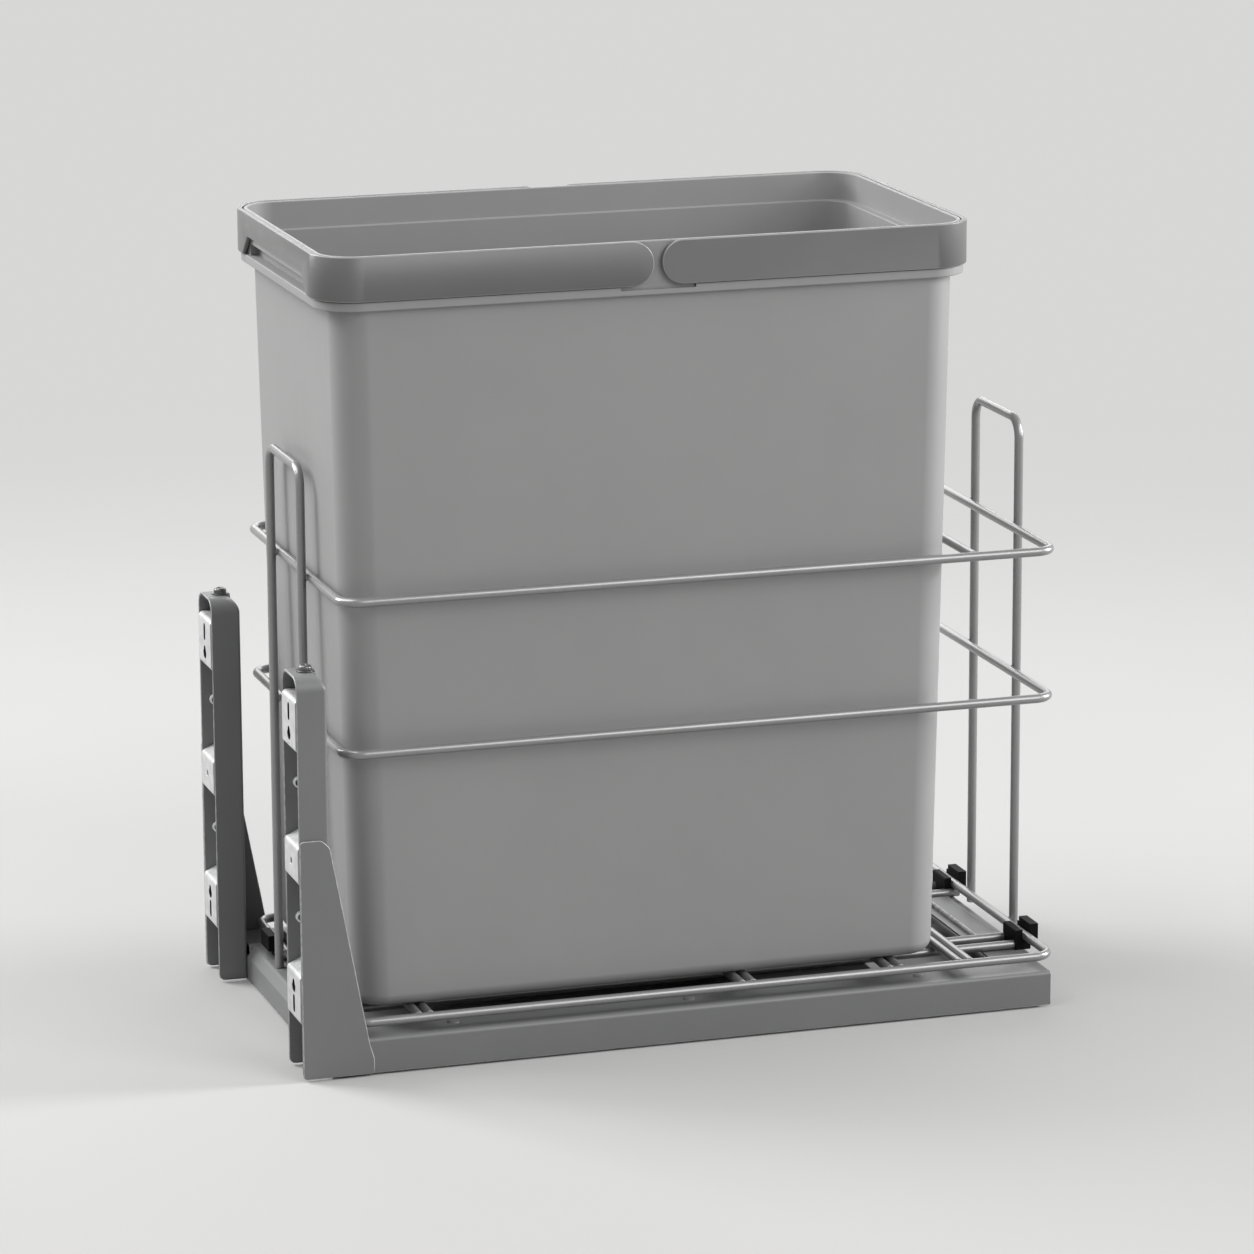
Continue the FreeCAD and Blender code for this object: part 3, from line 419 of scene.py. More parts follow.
def rounded(source, cut, fold=0.0, sheet=0.0, clamp=False):
    """Bevel cut edges by one width and folds by another, and mark the ridges for a painted highlight."""
    bm = bmesh.new()
    bm.from_mesh(source.data)
    widest = max(cut, fold, fold - sheet)
    weight = bm.edges.layers.float.new("bevel_weight_edge")
    for edge in bm.edges:
        if not edge.is_manifold or edge.calc_face_angle(0.0) < SHARP:
            continue
        length = edge.calc_length()
        wide = min(face.calc_area() for face in edge.link_faces) / length > FOLD_WIDTH * sheet
        if fold and wide and length > FOLD_LENGTH:
            inner = edge.calc_face_angle_signed(0.0) < 0
            edge[weight] = max(fold - sheet, cut) / widest if inner else fold / widest
        else:
            edge[weight] = cut / widest
    bm.to_mesh(source.data)
    bm.free()
    source.data.materials.clear()
    for _ in range(2):
        source.data.materials.append(None)
    bevel = source.modifiers.new("bevel", "BEVEL")
    bevel.limit_method = "WEIGHT"
    bevel.width = widest
    bevel.segments = 4 if fold else 2
    bevel.use_clamp_overlap = clamp
    bevel.material = 1
    made = frozen(source)
    return shaded(made, worn=True)


def shaded(made, worn=False):
    """Smooth shading except at sharp edges; flat faces keep their own direction."""
    mesh = made.data
    ridge = [0.0] * len(mesh.vertices)
    # The bevel's own faces mark the ridges that the finishes paint lighter as a highlight.
    if worn:
        beside = set()
        on_bevel = set()
        for face in mesh.polygons:
            (on_bevel if face.material_index == 1 else beside).update(face.vertices)
            face.material_index = 0
        for index in on_bevel - beside:
            ridge[index] = 1.0
    layer = mesh.attributes.new("worn", "FLOAT", "POINT")
    layer.data.foreach_set("value", ridge)
    mesh.shade_smooth()
    mesh.set_sharp_from_angle(angle=SMOOTH)
    even = made.modifiers.new("even", "WEIGHTED_NORMAL")
    even.keep_sharp = True
    even.mode = "FACE_AREA"
    return frozen(made)


# %% A copy of a CAD node, and a piece fitted into the frame
fitted_pieces = []
SAME_PLACE = 0.002 * MM
FLAT = math.radians(0.5)


def middle(node):
    """The middle of a node's box, as three numbers."""
    low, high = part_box(node)
    return tuple((low[axis] + high[axis]) / 2 for axis in range(3))


def copied(node, name):
    """The node's loose triangles, merged and with flat regions joined."""
    bm = bmesh.new()
    bm.from_mesh(frame["nodes"][node].data)
    bmesh.ops.remove_doubles(bm, verts=bm.verts, dist=SAME_PLACE)
    bmesh.ops.dissolve_limit(bm, angle_limit=FLAT, verts=bm.verts, edges=bm.edges)
    return thing(name, bm)


def fit(piece, finish, nodes):
    """Finish a piece, let it ride on its nodes' body, and let it stand for them."""
    piece.data.materials.clear()
    piece.data.materials.append(finish)
    for face in piece.data.polygons:
        face.material_index = 0
    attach(piece, frame["nodes"][nodes[0]]["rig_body"])
    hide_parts(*nodes)
    fitted_pieces.append(piece)
    return piece


def marked_hole_shade(piece, inside):
    """Mark the corners of those faces that get a painted shade, nearly black, in the zinc's shader."""
    layer = piece.data.attributes.new("raw", "FLOAT", "CORNER")
    shade_marks = [0.0] * len(piece.data.loops)
    for face in piece.data.polygons:
        if inside(face.center, face.normal):
            for corner in face.loop_indices:
                shade_marks[corner] = 1.0
    layer.data.foreach_set("value", shade_marks)
    return piece


SIDES = (("right", 1), ("left", -1))

# %% [markdown]
# ## The tub
#
# The tub is moulded: a tapered body with round corners, a narrow ledge near the top, and a collar above the ledge
# that the handles fold around. Every level is a rounded rectangle, so the whole skin can be a stack of such rings,
# from the outside of the floor up over the lip and down the inside again. Each rounded edge of the mould is a few
# such rings, spaced by one helper that steps along a quarter circle. That gives clean rows of quads that follow the
# moulding, where a boolean of boxes would leave triangles in the corners.

# %% Sizes of the tub
tub_low, tub_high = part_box("bin_body")
tub_middle_y = (tub_low.y + tub_high.y) / 2
TUB_TOP = tub_high.z
FOOT_Z = tub_low.z
BODY = (107.0 * MM, 194.3 * MM)
FOOT = (103.0 * MM, 186.3 * MM)
COLLAR = (108.9 * MM, 200.7 * MM)
LEDGE = (110.9 * MM, 202.7 * MM)
LEDGE_Z = (TUB_TOP - 32.3 * MM, TUB_TOP - 26.8 * MM)
STEP_Z = TUB_TOP - 17.5 * MM
BODY_ROUND = 20.0 * MM
COLLAR_ROUND = 23.1 * MM
LEDGE_ROUND = 25.1 * MM
WALL = 2.2 * MM
FLOOR = 2.6 * MM
COLLAR_WALL = 2.4 * MM
FOOT_ROUND = 8.0 * MM
UNDER_LEDGE_ROUND = 1.0 * MM
LEDGE_EDGE = 0.7 * MM
COLLAR_ROOT = 0.4 * MM
OUTER_LIP = 0.8 * MM
INNER_LIP = 0.7 * MM
PIVOTS_Y = (-32.75 * MM, -0.85 * MM)
PIVOT_Z = 479.95 * MM
CORNER_STEPS = 14
print("tub middle y, mm:", round(tub_middle_y / MM, 2), "top z:", round(TUB_TOP / MM, 1))


# %% The tub's rings
def ring_points(half, radius, z):
    """Rounded rectangle about the tub's middle, counter-clockwise from above."""
    points = []
    for corner, (sx, sy) in enumerate(((1, 1), (-1, 1), (-1, -1), (1, -1))):
        centre = Vector((sx * (half[0] - radius), tub_middle_y + sy * (half[1] - radius), z))
        for step in range(CORNER_STEPS + 1):
            angle = math.pi / 2 * (corner + step / CORNER_STEPS)
            points.append(centre + Vector((math.cos(angle), math.sin(angle), 0)) * radius)
    return points


def quarter_round(size, steps):
    """Steps of a quarter circle: how far it has come in, and how far it still has to go."""
    for step in range(steps + 1):
        angle = math.pi / 2 * step / steps
        yield size * (1 - math.cos(angle)), size * (1 - math.sin(angle))


def body_half(z):
    """Half sizes of the tapered body at one height."""
    share = (z - FOOT_Z) / (LEDGE_Z[0] - FOOT_Z)
    return tuple(f + (b - f) * share for f, b in zip(FOOT, BODY))


def tub_rings():
    """(half sizes, corner radius, height) of every ring, from the outside of the floor to the inside."""
    rings = []

    def add(half, corner, by, z):
        rings.append(((half[0] + by, half[1] + by), corner + by, z))

    for rise, inset in quarter_round(FOOT_ROUND, 8):
        add(body_half(FOOT_Z + rise), BODY_ROUND, -inset, FOOT_Z + rise)
    for out, drop in quarter_round(UNDER_LEDGE_ROUND, 4):
        add(body_half(LEDGE_Z[0] - drop), BODY_ROUND, out, LEDGE_Z[0] - drop)
    for rise, inset in quarter_round(LEDGE_EDGE, 3):
        add(LEDGE, LEDGE_ROUND, -inset, LEDGE_Z[0] + rise)
    for inset, drop in quarter_round(LEDGE_EDGE, 3):
        add(LEDGE, LEDGE_ROUND, -inset, LEDGE_Z[1] - drop)
    for rise, out in quarter_round(COLLAR_ROOT, 2):
        add(COLLAR, COLLAR_ROUND, out, LEDGE_Z[1] + rise)
    for inset, drop in quarter_round(OUTER_LIP, 4):
        add(COLLAR, COLLAR_ROUND, -inset, TUB_TOP - drop)
    for drop, out in quarter_round(INNER_LIP, 4):
        add(COLLAR, COLLAR_ROUND, out - COLLAR_WALL, TUB_TOP - drop)
    add(COLLAR, COLLAR_ROUND, -COLLAR_WALL, STEP_Z + COLLAR_ROOT)
    add(COLLAR, COLLAR_ROUND, -COLLAR_WALL - COLLAR_ROOT, STEP_Z)
    for drop, out in quarter_round(LEDGE_EDGE, 3):
        add(body_half(STEP_Z), BODY_ROUND, out - WALL, STEP_Z - drop)
    for inset, rise in quarter_round(FOOT_ROUND - WALL, 6):
        z = FOOT_Z + FLOOR + rise
        add(body_half(z), BODY_ROUND, -WALL - inset, z)
    return rings


# %% The tub's skin
def skin(name, rings):
    """Closed surface through a stack of rings."""
    bm = bmesh.new()
    rows = [[bm.verts.new(point) for point in ring_points(*ring)] for ring in rings]
    quads(bm, rows)
    bm.faces.new(rows[0][::-1])
    bm.faces.new(rows[-1])
    return thing(name, bm)


def brick(x, y, z):
    """A block to cut with, between pairs of limits."""
    bm = bmesh.new()
    bmesh.ops.create_cube(bm, size=1.0)
    for vertex in bm.verts:
        for axis, limits in enumerate((x, y, z)):
            vertex.co[axis] = limits[0] if vertex.co[axis] < 0 else limits[1]
    return thing("brick", bm)


tub = skin("tub", tub_rings())
print("tub skin faces", len(tub.data.polygons))

# %% [markdown]
# Below the handles' round ends the ledge has a shallow slot, so that a handle can swing up without rubbing. Behind
# each finger hole the collar is pushed in to make room for the fingers. Both are cut out of the skin.

# %% Slots, finger pockets and pivot pins
SLOT_Y = (-39.8 * MM, 7.2 * MM)
SLOT_DEPTH = 2.2 * MM
SLOT_OUT = 5.0 * MM
POCKET_X = (-72.0 * MM, 72.0 * MM)
POCKET_IN, POCKET_OUT = 5.2 * MM, 3.9 * MM
POCKET_HEIGHT = 7.4 * MM
PIN_RADIUS = 4.0 * MM
PIN_REACH = 2.8 * MM


def cylinder(radius, length, place, segments=40):
    """Round solid; place tells where a point goes when the axis lies along Z, about the origin."""
    bm = bmesh.new()
    bmesh.ops.create_cone(bm, cap_ends=True, segments=segments, radius1=radius, radius2=radius, depth=length)
    for vertex in bm.verts:
        vertex.co = place(vertex.co.copy())
    bmesh.ops.recalc_face_normals(bm, faces=bm.faces)
    return thing("cylinder", bm)


cutters, pins = [], []
for _, side in SIDES:
    slot_x = sorted((side * COLLAR[0], side * (LEDGE[0] + SLOT_OUT)))
    cutters.append(brick(slot_x, SLOT_Y, (LEDGE_Z[1] - SLOT_DEPTH, LEDGE_Z[1] + SLOT_DEPTH)))
    wall_y = tub_middle_y + side * COLLAR[1]
    pocket_y = sorted((wall_y - side * POCKET_IN, wall_y + side * POCKET_OUT))
    cutters.append(brick(POCKET_X, pocket_y, (LEDGE_Z[1], LEDGE_Z[1] + POCKET_HEIGHT)))
    x = sorted((side * (COLLAR[0] - COLLAR_WALL / 2), side * (COLLAR[0] + PIN_REACH)))
    for y in PIVOTS_Y:
        spot = Vector(((x[0] + x[1]) / 2, y, PIVOT_Z))
        pins.append(cylinder(PIN_RADIUS, x[1] - x[0], lambda p: spot + Vector((p.z, p.x, p.y))))
tub = combined(combined(tub, cutters, "DIFFERENCE"), pins, "UNION")
tub = fit(shaded(tub), tub_plastic, ["bin_body"])
print("tub faces", len(tub.data.polygons))

# %% [markdown]
# ## The handles
#
# Each handle, or bail, is half of a band that lies round the collar, with round ends that turn on the pins. It
# would be awkward to draw in place. So it is drawn flat, as a strip of the right outline with the finger hole and
# the pin holes in it, and then wrapped round the collar. The strip is sliced first where it will bend, since a
# flat face can't curve.

# %% Sizes of the bails
bail_low, bail_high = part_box("front_bail")
BAND = (112.8 * MM, 204.6 * MM)
BAND_ROUND = 27.0 * MM
BAND_Z = (bail_low.z, bail_high.z)
BAND_THICK = 3.0 * MM
END_RADIUS = (BAND_Z[1] - BAND_Z[0]) / 2
GRIP_BOTTOM = 79.0 * MM
GRIP_TOP = 66.0 * MM
GRIP_HEIGHT = 12.5 * MM
GRIP_ROUND = 3.0 * MM
print("bail height, mm:", round((BAND_Z[1] - BAND_Z[0]) / MM, 2))


# %% The flat strip
def arc(centre, radius, start, end, steps):
    """Points on an arc, angles in degrees."""
    points = []
    for step in range(steps + 1):
        angle = math.radians(start + (end - start) * step / steps)
        points.append((centre[0] + radius * math.cos(angle), centre[1] + radius * math.sin(angle)))
    return points


def strip_outline(arm):
    """Outline of a flattened bail: along the band, and up from its lower edge. arm is where the pivots are."""
    height = BAND_Z[1] - BAND_Z[0]
    slant = math.degrees(math.atan2(GRIP_HEIGHT, GRIP_BOTTOM - GRIP_TOP))
    reach = GRIP_ROUND * math.tan(math.radians(slant / 2))
    corner = (GRIP_TOP - reach, GRIP_HEIGHT - GRIP_ROUND)
    right = [(GRIP_BOTTOM, 0.0)] + arc((arm, height / 2), END_RADIUS, -90, 90, 24)
    left = [(-x, y) for x, y in reversed(right)]
    grip = arc((-corner[0], corner[1]), GRIP_ROUND, 90 + slant, 90, 5)
    grip += [(-x, y) for x, y in reversed(grip)]
    return right + left + grip


def wrap_place(along, out, side):
    """Point on the band: along from the middle of its end wall, and out from its outer face."""
    flat = BAND[0] - BAND_ROUND
    bend = BAND_ROUND * math.pi / 2
    sign = 1 if along >= 0 else -1
    s = abs(along)
    if s <= flat:
        x, y = s, BAND[1] + out
    elif s <= flat + bend:
        angle = (s - flat) / BAND_ROUND
        x = flat + (BAND_ROUND + out) * math.sin(angle)
        y = BAND[1] - BAND_ROUND + (BAND_ROUND + out) * math.cos(angle)
    else:
        x, y = BAND[0] + out, BAND[1] - BAND_ROUND - (s - flat - bend)
    return Vector((sign * x, tub_middle_y + side * y, 0.0))


# %% Bevel, slice and wrap
SLICE_TOLERANCE = 0.0005 * MM
BAIL_HOLE = 4.06 * MM
BAIL_HOLE_DEPTH = 4.2 * MM
BAIL_EDGE = 0.8 * MM


def plate(name, outline, y):
    """Flat solid from an outline in X and Z, between two places along Y."""
    bm = bmesh.new()
    face = bm.faces.new([bm.verts.new((x, y[0], z)) for x, z in outline])
    made = bmesh.ops.extrude_face_region(bm, geom=[face])
    for element in made["geom"]:
        if isinstance(element, bmesh.types.BMVert):
            element.co.y = y[1]
    bmesh.ops.recalc_face_normals(bm, faces=bm.faces)
    return thing(name, bm)


def bail(name, side, pivot_y, node):
    """Half band round the collar: side is -1 for the front one and 1 for the rear one."""
    flat, bend = BAND[0] - BAND_ROUND, BAND_ROUND * math.pi / 2
    arm = flat + bend + (BAND[1] - BAND_ROUND) - side * (pivot_y - tub_middle_y)
    holes = []
    for x in (-arm, arm):
        spot = Vector((x, -BAND_THICK, END_RADIUS))
        holes.append(cylinder(BAIL_HOLE, BAIL_HOLE_DEPTH, lambda p: spot + Vector((p.x, p.z, p.y))))
    blank = combined(plate("blank", strip_outline(arm), (0.0, -BAND_THICK)), holes, "DIFFERENCE")
    blank = rounded(blank, BAIL_EDGE)
    bm = bmesh.new()
    bm.from_mesh(blank.data)
    bpy.data.objects.remove(blank)
    for step in range(CORNER_STEPS + 1):
        for sign in (-1, 1):
            place = Vector((sign * (flat + bend * step / CORNER_STEPS), 0, 0))
            everything = bm.verts[:] + bm.edges[:] + bm.faces[:]
            bmesh.ops.bisect_plane(bm, geom=everything, plane_co=place, plane_no=(1, 0, 0), dist=SLICE_TOLERANCE)
    for vertex in bm.verts:
        height = BAND_Z[0] + vertex.co.z
        vertex.co = wrap_place(vertex.co.x, vertex.co.y, side)
        vertex.co.z = height
    bmesh.ops.recalc_face_normals(bm, faces=bm.faces)
    # The operator guesses which way is out, and on a thin open band it can guess wrong; the volume's sign is sure.
    if bm.calc_volume(signed=True) < 0:
        bmesh.ops.reverse_faces(bm, faces=bm.faces)
    wrapped = thing(name, bm)
    wrapped.data.set_sharp_from_angle(angle=SMOOTH)
    return fit(wrapped, bail_plastic, [node])


for name, side, pivot_y in (("front", -1, PIVOTS_Y[0]), ("rear", 1, PIVOTS_Y[1])):
    made = bail("bail_" + name, side, pivot_y, name + "_bail")
    print(made.name, "faces", len(made.data.polygons))

# %% [markdown]
# ## The wire cage, as a rule
#
# Two rings and a rim go round the tub, two U-shaped uprights stand behind them, and straight wires make the floor.
# Bent wire is a rule and not a shape: a path, a bend radius and a diameter. Geometry Nodes can hold that rule once,
# so every wire is one small tree with different numbers. The Fillet Curve node is the bending tool and Curve to
# Mesh is the wire itself.

# %% A Geometry Nodes tree with named inputs
class Recipe(Graph):
    """A Geometry Nodes tree whose inputs have names, and which can be run on a mesh."""

    def __init__(self, name, numbers):
        super().__init__(bpy.data.node_groups.new(name, "GeometryNodeTree"))
        face = self.tree.interface
        kinds = {float: "NodeSocketFloat", int: "NodeSocketInt", "material": "NodeSocketMaterial"}
        kinds["object"] = "NodeSocketObject"
        self.keys = {}
        face.new_socket("Geometry", in_out="INPUT", socket_type="NodeSocketGeometry")
        for label, kind in numbers.items():
            socket = face.new_socket(label, in_out="INPUT", socket_type=kinds[kind])
            self.keys[label] = socket.identifier
        face.new_socket("Geometry", in_out="OUTPUT", socket_type="NodeSocketGeometry")
        self.entry = self.node("NodeGroupInput")

    def given(self, label):
        return self.entry.outputs[label]

    def close(self, geometry):
        """End the tree: real geometry, smooth, in the given material."""
        real = self.node("GeometryNodeRealizeInstances", None, {"Geometry": geometry})
        smooth = self.node("GeometryNodeSetShadeSmooth", None, {"Geometry": real.outputs[0]})
        dressed = self.node(
            "GeometryNodeSetMaterial", None, {"Geometry": smooth.outputs[0], "Material": self.given("Finish")}
        )
        end = self.node("NodeGroupOutput")
        self.tree.links.new(dressed.outputs[0], end.inputs[0])
        print("tree", self.tree.name, "nodes", len(self.tree.nodes))
        return self

    def run(self, source, values):
        """Apply the tree to an object and return the plain result."""
        step = source.modifiers.new(self.tree.name, "NODES")
        step.node_group = self.tree
        for label, value in values.items():
            step[self.keys[label]] = value
        return frozen(source)


# %% The bent wire
def wire_tree():
    recipe = Recipe(
        "bent_wire",
        {"Wire radius": float, "Bend radius": float, "Bend steps": int, "Sides": int, "Finish": "material"},
    )
    path = recipe.node("GeometryNodeMeshToCurve", None, {"Mesh": recipe.given("Geometry")})
    inputs = {
        "Curve": path.outputs[0],
        "Radius": recipe.given("Bend radius"),
        "Count": recipe.given("Bend steps"),
        "Limit Radius": True,
    }
    bent = recipe.node("GeometryNodeFilletCurve", {"mode": "POLY"}, inputs)
    profile = recipe.node(
        "GeometryNodeCurvePrimitiveCircle",
        {"mode": "RADIUS"},
        {"Radius": recipe.given("Wire radius"), "Resolution": recipe.given("Sides")},
    )
    inputs = {"Curve": bent.outputs[0], "Profile Curve": profile.outputs[0], "Fill Caps": True}
    tube = recipe.node("GeometryNodeCurveToMesh", None, inputs)
    return recipe.close(tube.outputs[0])


bent_wire = wire_tree()


# %% Paths of the wires
def path(name, runs, closed=False):
    """A mesh of edges through points; several runs give several wires."""
    bm = bmesh.new()
    for points in runs:
        made = [bm.verts.new(point) for point in points]
        for first, second in zip(made, made[1:]):
            bm.edges.new((first, second))
        if closed:
            bm.edges.new((made[-1], made[0]))
    return thing(name, bm)


WIRE_RADIUS = 2.8 * MM
WIRE_BEND = 12.0 * MM
WIRE_END = 0.5 * MM


def wires(name, runs, node, closed=False):
    """Bend wires along the paths, break their ends' edges, and fit them."""
    values = {
        "Wire radius": WIRE_RADIUS,
        "Bend radius": WIRE_BEND,
        "Bend steps": 14,
        "Sides": 28,
        "Finish": wire_coat,
    }
    made = bent_wire.run(path(name, runs, closed), values)
    bm = bmesh.new()
    bm.from_mesh(made.data)
    bmesh.ops.recalc_face_normals(bm, faces=bm.faces)
    bm.to_mesh(made.data)
    bm.free()
    made = made if closed else rounded(made, WIRE_END)
    print(name, "faces", len(made.data.polygons))
    return fit(made, wire_coat, [node])


def loop_run(node):
    """Corners of a closed wire, read from the box of its CAD node."""
    low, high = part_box(node)
    x, z = high.x - WIRE_RADIUS, (low.z + high.z) / 2
    near, far = low.y + WIRE_RADIUS, high.y - WIRE_RADIUS
    return [[(-x, near, z), (x, near, z), (x, far, z), (-x, far, z)]]


def upright_run(node):
    low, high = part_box(node)
    x, y, top = high.x - WIRE_RADIUS, (low.y + high.y) / 2, high.z - WIRE_RADIUS
    return [[(-x, y, low.z), (-x, y, top), (x, y, top), (x, y, low.z)]]


for node in ("upper_ring", "lower_ring", "basket_rim"):
    wires("wire_" + node, loop_run(node), node, closed=True)
for node in ("front_upright", "rear_upright"):
    wires("wire_" + node, upright_run(node), node)

# %% The straight wires
cross_low, cross_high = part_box("ring_cross_wire")
cross_y = (cross_low.y + cross_high.y) / 2
cross_z = (cross_low.z + cross_high.z) / 2
wires("wire_ring_cross", [[(cross_low.x, cross_y, cross_z), (cross_high.x, cross_y, cross_z)]], "ring_cross_wire")

long_low, long_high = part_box("basket_long_wires")
long_z = (long_low.z + long_high.z) / 2
LONG_X = (-70 * MM, -52 * MM, 52 * MM, 70 * MM)
long_runs = [[(x, long_low.y, long_z), (x, long_high.y, long_z)] for x in LONG_X]
wires("wire_floor_long", long_runs, "basket_long_wires")

floor_low, floor_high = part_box("basket_cross_wires")
PAIRS_Y = (-167.0 * MM, 38.0 * MM, 134.5 * MM, 180.0 * MM)
PAIR_HALF = 3.5 * MM
rows = [y + shift for y in PAIRS_Y for shift in (-PAIR_HALF, PAIR_HALF)]
floor_z = (floor_low.z + floor_high.z) / 2
cross_runs = [[(floor_low.x, y, floor_z), (floor_high.x, y, floor_z)] for y in rows]
wires("wire_floor_cross", cross_runs, "basket_cross_wires")

# %% [markdown]
# ## Welds
#
# Where two wires cross they are pressed together between electrodes and fused. The joint shows as a small nugget
# that fills the crevice. It is one flattened ball, repeated at every crossing, which is what instances on points
# are for. Each point carries its own squash, along the wires' common direction and across it.

# %% The weld tree
def weld_tree():
    recipe = Recipe("weld_nuggets", {"Roundness": int, "Finish": "material"})
    ball = recipe.node(
        "GeometryNodeMeshIcoSphere", None, {"Radius": 1.0, "Subdivisions": recipe.given("Roundness")}
    )
    squash = recipe.node("GeometryNodeInputNamedAttribute", {"data_type": "FLOAT_VECTOR"}, {"Name": "squash"})
    inputs = {"Points": recipe.given("Geometry"), "Instance": ball.outputs[0], "Scale": squash.outputs[0]}
    nuggets = recipe.node("GeometryNodeInstanceOnPoints", None, inputs)
    return recipe.close(nuggets.outputs[0])


weld_nuggets = weld_tree()


# %% Where the wires cross
WELD_ON_RING = (2.4 * MM, 1.1 * MM, 2.4 * MM)
WELD_ON_LONG = (2.2 * MM, 2.2 * MM, 1.0 * MM)
WELD_AT_END = (1.0 * MM, 2.2 * MM, 2.2 * MM)
WELD_IN = 0.3 * MM


def crossings():
    """(place, squash) of every weld between wires."""
    spots = []
    for node in ("front_upright", "rear_upright"):
        low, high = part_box(node)
        out = -1 if node == "front_upright" else 1
        y = (low.y + high.y) / 2 - out * WIRE_RADIUS
        for ring in ("upper_ring", "lower_ring", "basket_rim"):
            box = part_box(ring)
            for x in (low.x + WIRE_RADIUS, high.x - WIRE_RADIUS):
                spots.append(((x, y, (box[0].z + box[1].z) / 2), WELD_ON_RING))
    spots += [((x, y, floor_z - WIRE_RADIUS), WELD_ON_LONG) for x in LONG_X for y in rows]
    spots += [((sign * (floor_high.x - WELD_IN), y, floor_z), WELD_AT_END) for y in rows for sign in (-1, 1)]
    spots += [((sign * (cross_high.x - WELD_IN), cross_y, cross_z), WELD_AT_END) for sign in (-1, 1)]
    return spots


def points_object(name, places, squashes=()):
    """Loose points, with a squash each where it is given."""
    mesh = bpy.data.meshes.new(name)
    mesh.from_pydata(places, [], [])
    if squashes:
        layer = mesh.attributes.new("squash", "FLOAT_VECTOR", "POINT")
        layer.data.foreach_set("vector", [number for squash in squashes for number in squash])
    made = bpy.data.objects.new(name, mesh)
    collection.objects.link(made)
    return made


spots = crossings()
weld_points = points_object("wire_welds", *zip(*spots))
welds = weld_nuggets.run(weld_points, {"Roundness": 3, "Finish": wire_coat})
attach(welds, "sledge")
fitted_pieces.append(welds)
print("welds", len(spots), "faces", len(welds.data.polygons))

# %% [markdown]
# ## Sheet metal
#
# The channels, cross members, brackets and rails are pressed out of 1.5 mm steel. A press brake bends a flat strip
# along straight lines, so such a piece is fully told by its side view: a path with an arc at every bend. The
# Solidify modifier then gives the strip its thickness, and Bevel breaks the cut edges. The arc is drawn on the
# outer face; on an inward bend the outer face is the tight side, so its radius is smaller by the sheet.

# %% A strip bent along a path
SHEET = 1.5 * MM
SHEET_FOLD = 2.2 * MM
MEMBER_EDGE = 0.25 * MM
BAR_EDGE = 0.3 * MM
CHANNEL_EDGE = 0.5 * MM
BRACKET_EDGE = 0.55 * MM
GUSSET_EDGE = 0.6 * MM
ARC_STEPS = 8


def with_arcs(points, fold):
    """The path with an arc at every corner; the sheet lies to the right of the path."""
    line = [Vector(points[0])]
    for before, corner, after in zip(points, points[1:], points[2:]):
        into = (Vector(corner) - Vector(before)).normalized()
        away = (Vector(after) - Vector(corner)).normalized()
        turn = math.atan2(into.x * away.y - into.y * away.x, into.dot(away))
        radius = fold if turn < 0 else fold - SHEET
        reach = radius * math.tan(abs(turn) / 2)
        side = Vector((-into.y, into.x)) * math.copysign(1.0, turn)
        centre = Vector(corner) - into * reach + side * radius
        for step in range(ARC_STEPS + 1):
            angle = turn * step / ARC_STEPS
            spoke = -side * radius
            swing = (math.cos(angle), math.sin(angle))
            point = (spoke.x * swing[0] - spoke.y * swing[1], spoke.x * swing[1] + spoke.y * swing[0])
            line.append(centre + Vector(point))
    line.append(Vector(points[-1]))
    return line


def thickened(surface):
    """Give a surface the sheet's thickness on its inner side."""
    solid = surface.modifiers.new("sheet", "SOLIDIFY")
    solid.thickness = SHEET
    solid.offset = -1.0
    solid.use_even_offset = True
    return frozen(surface)


def strip(name, points, fold, x):
    """A strip whose side view, in Y and Z, is a path of its outer face."""
    bm = bmesh.new()
    rows = [[bm.verts.new((side, y, z)) for side in x] for y, z in with_arcs(points, fold)]
    quads(bm, rows, closed=False)
    return thickened(thing(name, bm))


def joined(name, pieces):
    """One mesh out of several."""
    bm = bmesh.new()
    for piece in pieces:
        bm.from_mesh(piece.data)
        bpy.data.objects.remove(piece)
    return thing(name, bm)


# %% [markdown]
# The front cross bar has an upright face, a slope, a flat top that carries the cage, and a lip behind. Beside the
# channels only its upright face goes on, as two flat plates behind the brackets.

# %% Front cross bar
bar_low, bar_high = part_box("front_cross_bar")
BAR_HALF = 89.1 * MM
BAR_FOLD_Z = 15.0 * MM
BAR_SLOPE = 4.0 * MM
BAR_LIP = 8.0 * MM
BAR_FOLD = 2.6 * MM
front_y, rear_y = bar_low.y, bar_high.y
bar_path = [
    (front_y, bar_low.z), (front_y, BAR_FOLD_Z), (front_y + BAR_SLOPE, bar_high.z),
    (rear_y, bar_high.z), (rear_y, bar_high.z - BAR_LIP),
]
bar = rounded(strip("bar", bar_path, BAR_FOLD, (-BAR_HALF, BAR_HALF)), BAR_EDGE)
ends = []
for _, side in SIDES:
    plate_x = sorted((side * BAR_HALF, side * bar_high.x))
    ends.append(rounded(brick(plate_x, (front_y, front_y + SHEET), (bar_low.z, BAR_FOLD_Z)), BAR_EDGE))
front_bar = fit(joined("sheet_front_cross_bar", [bar] + ends), powder_coat, ["front_cross_bar"])
print("front bar faces", len(front_bar.data.polygons))

# %% [markdown]
# The other cross members, the channels and the gussets are exact in the CAD model, which draws every fold as a
# sharp corner. A merged copy of the model's mesh gets what the press leaves behind: small radii along the cut edges,
# and on the cross members generous radii at the folds.

# %% Folded pieces
for node in ("middle_cross_member", "rear_cross_member"):
    piece = fit(rounded(copied(node, "sheet_" + node), MEMBER_EDGE, SHEET_FOLD, SHEET), powder_coat, [node])
    print(piece.name, "faces", len(piece.data.polygons))

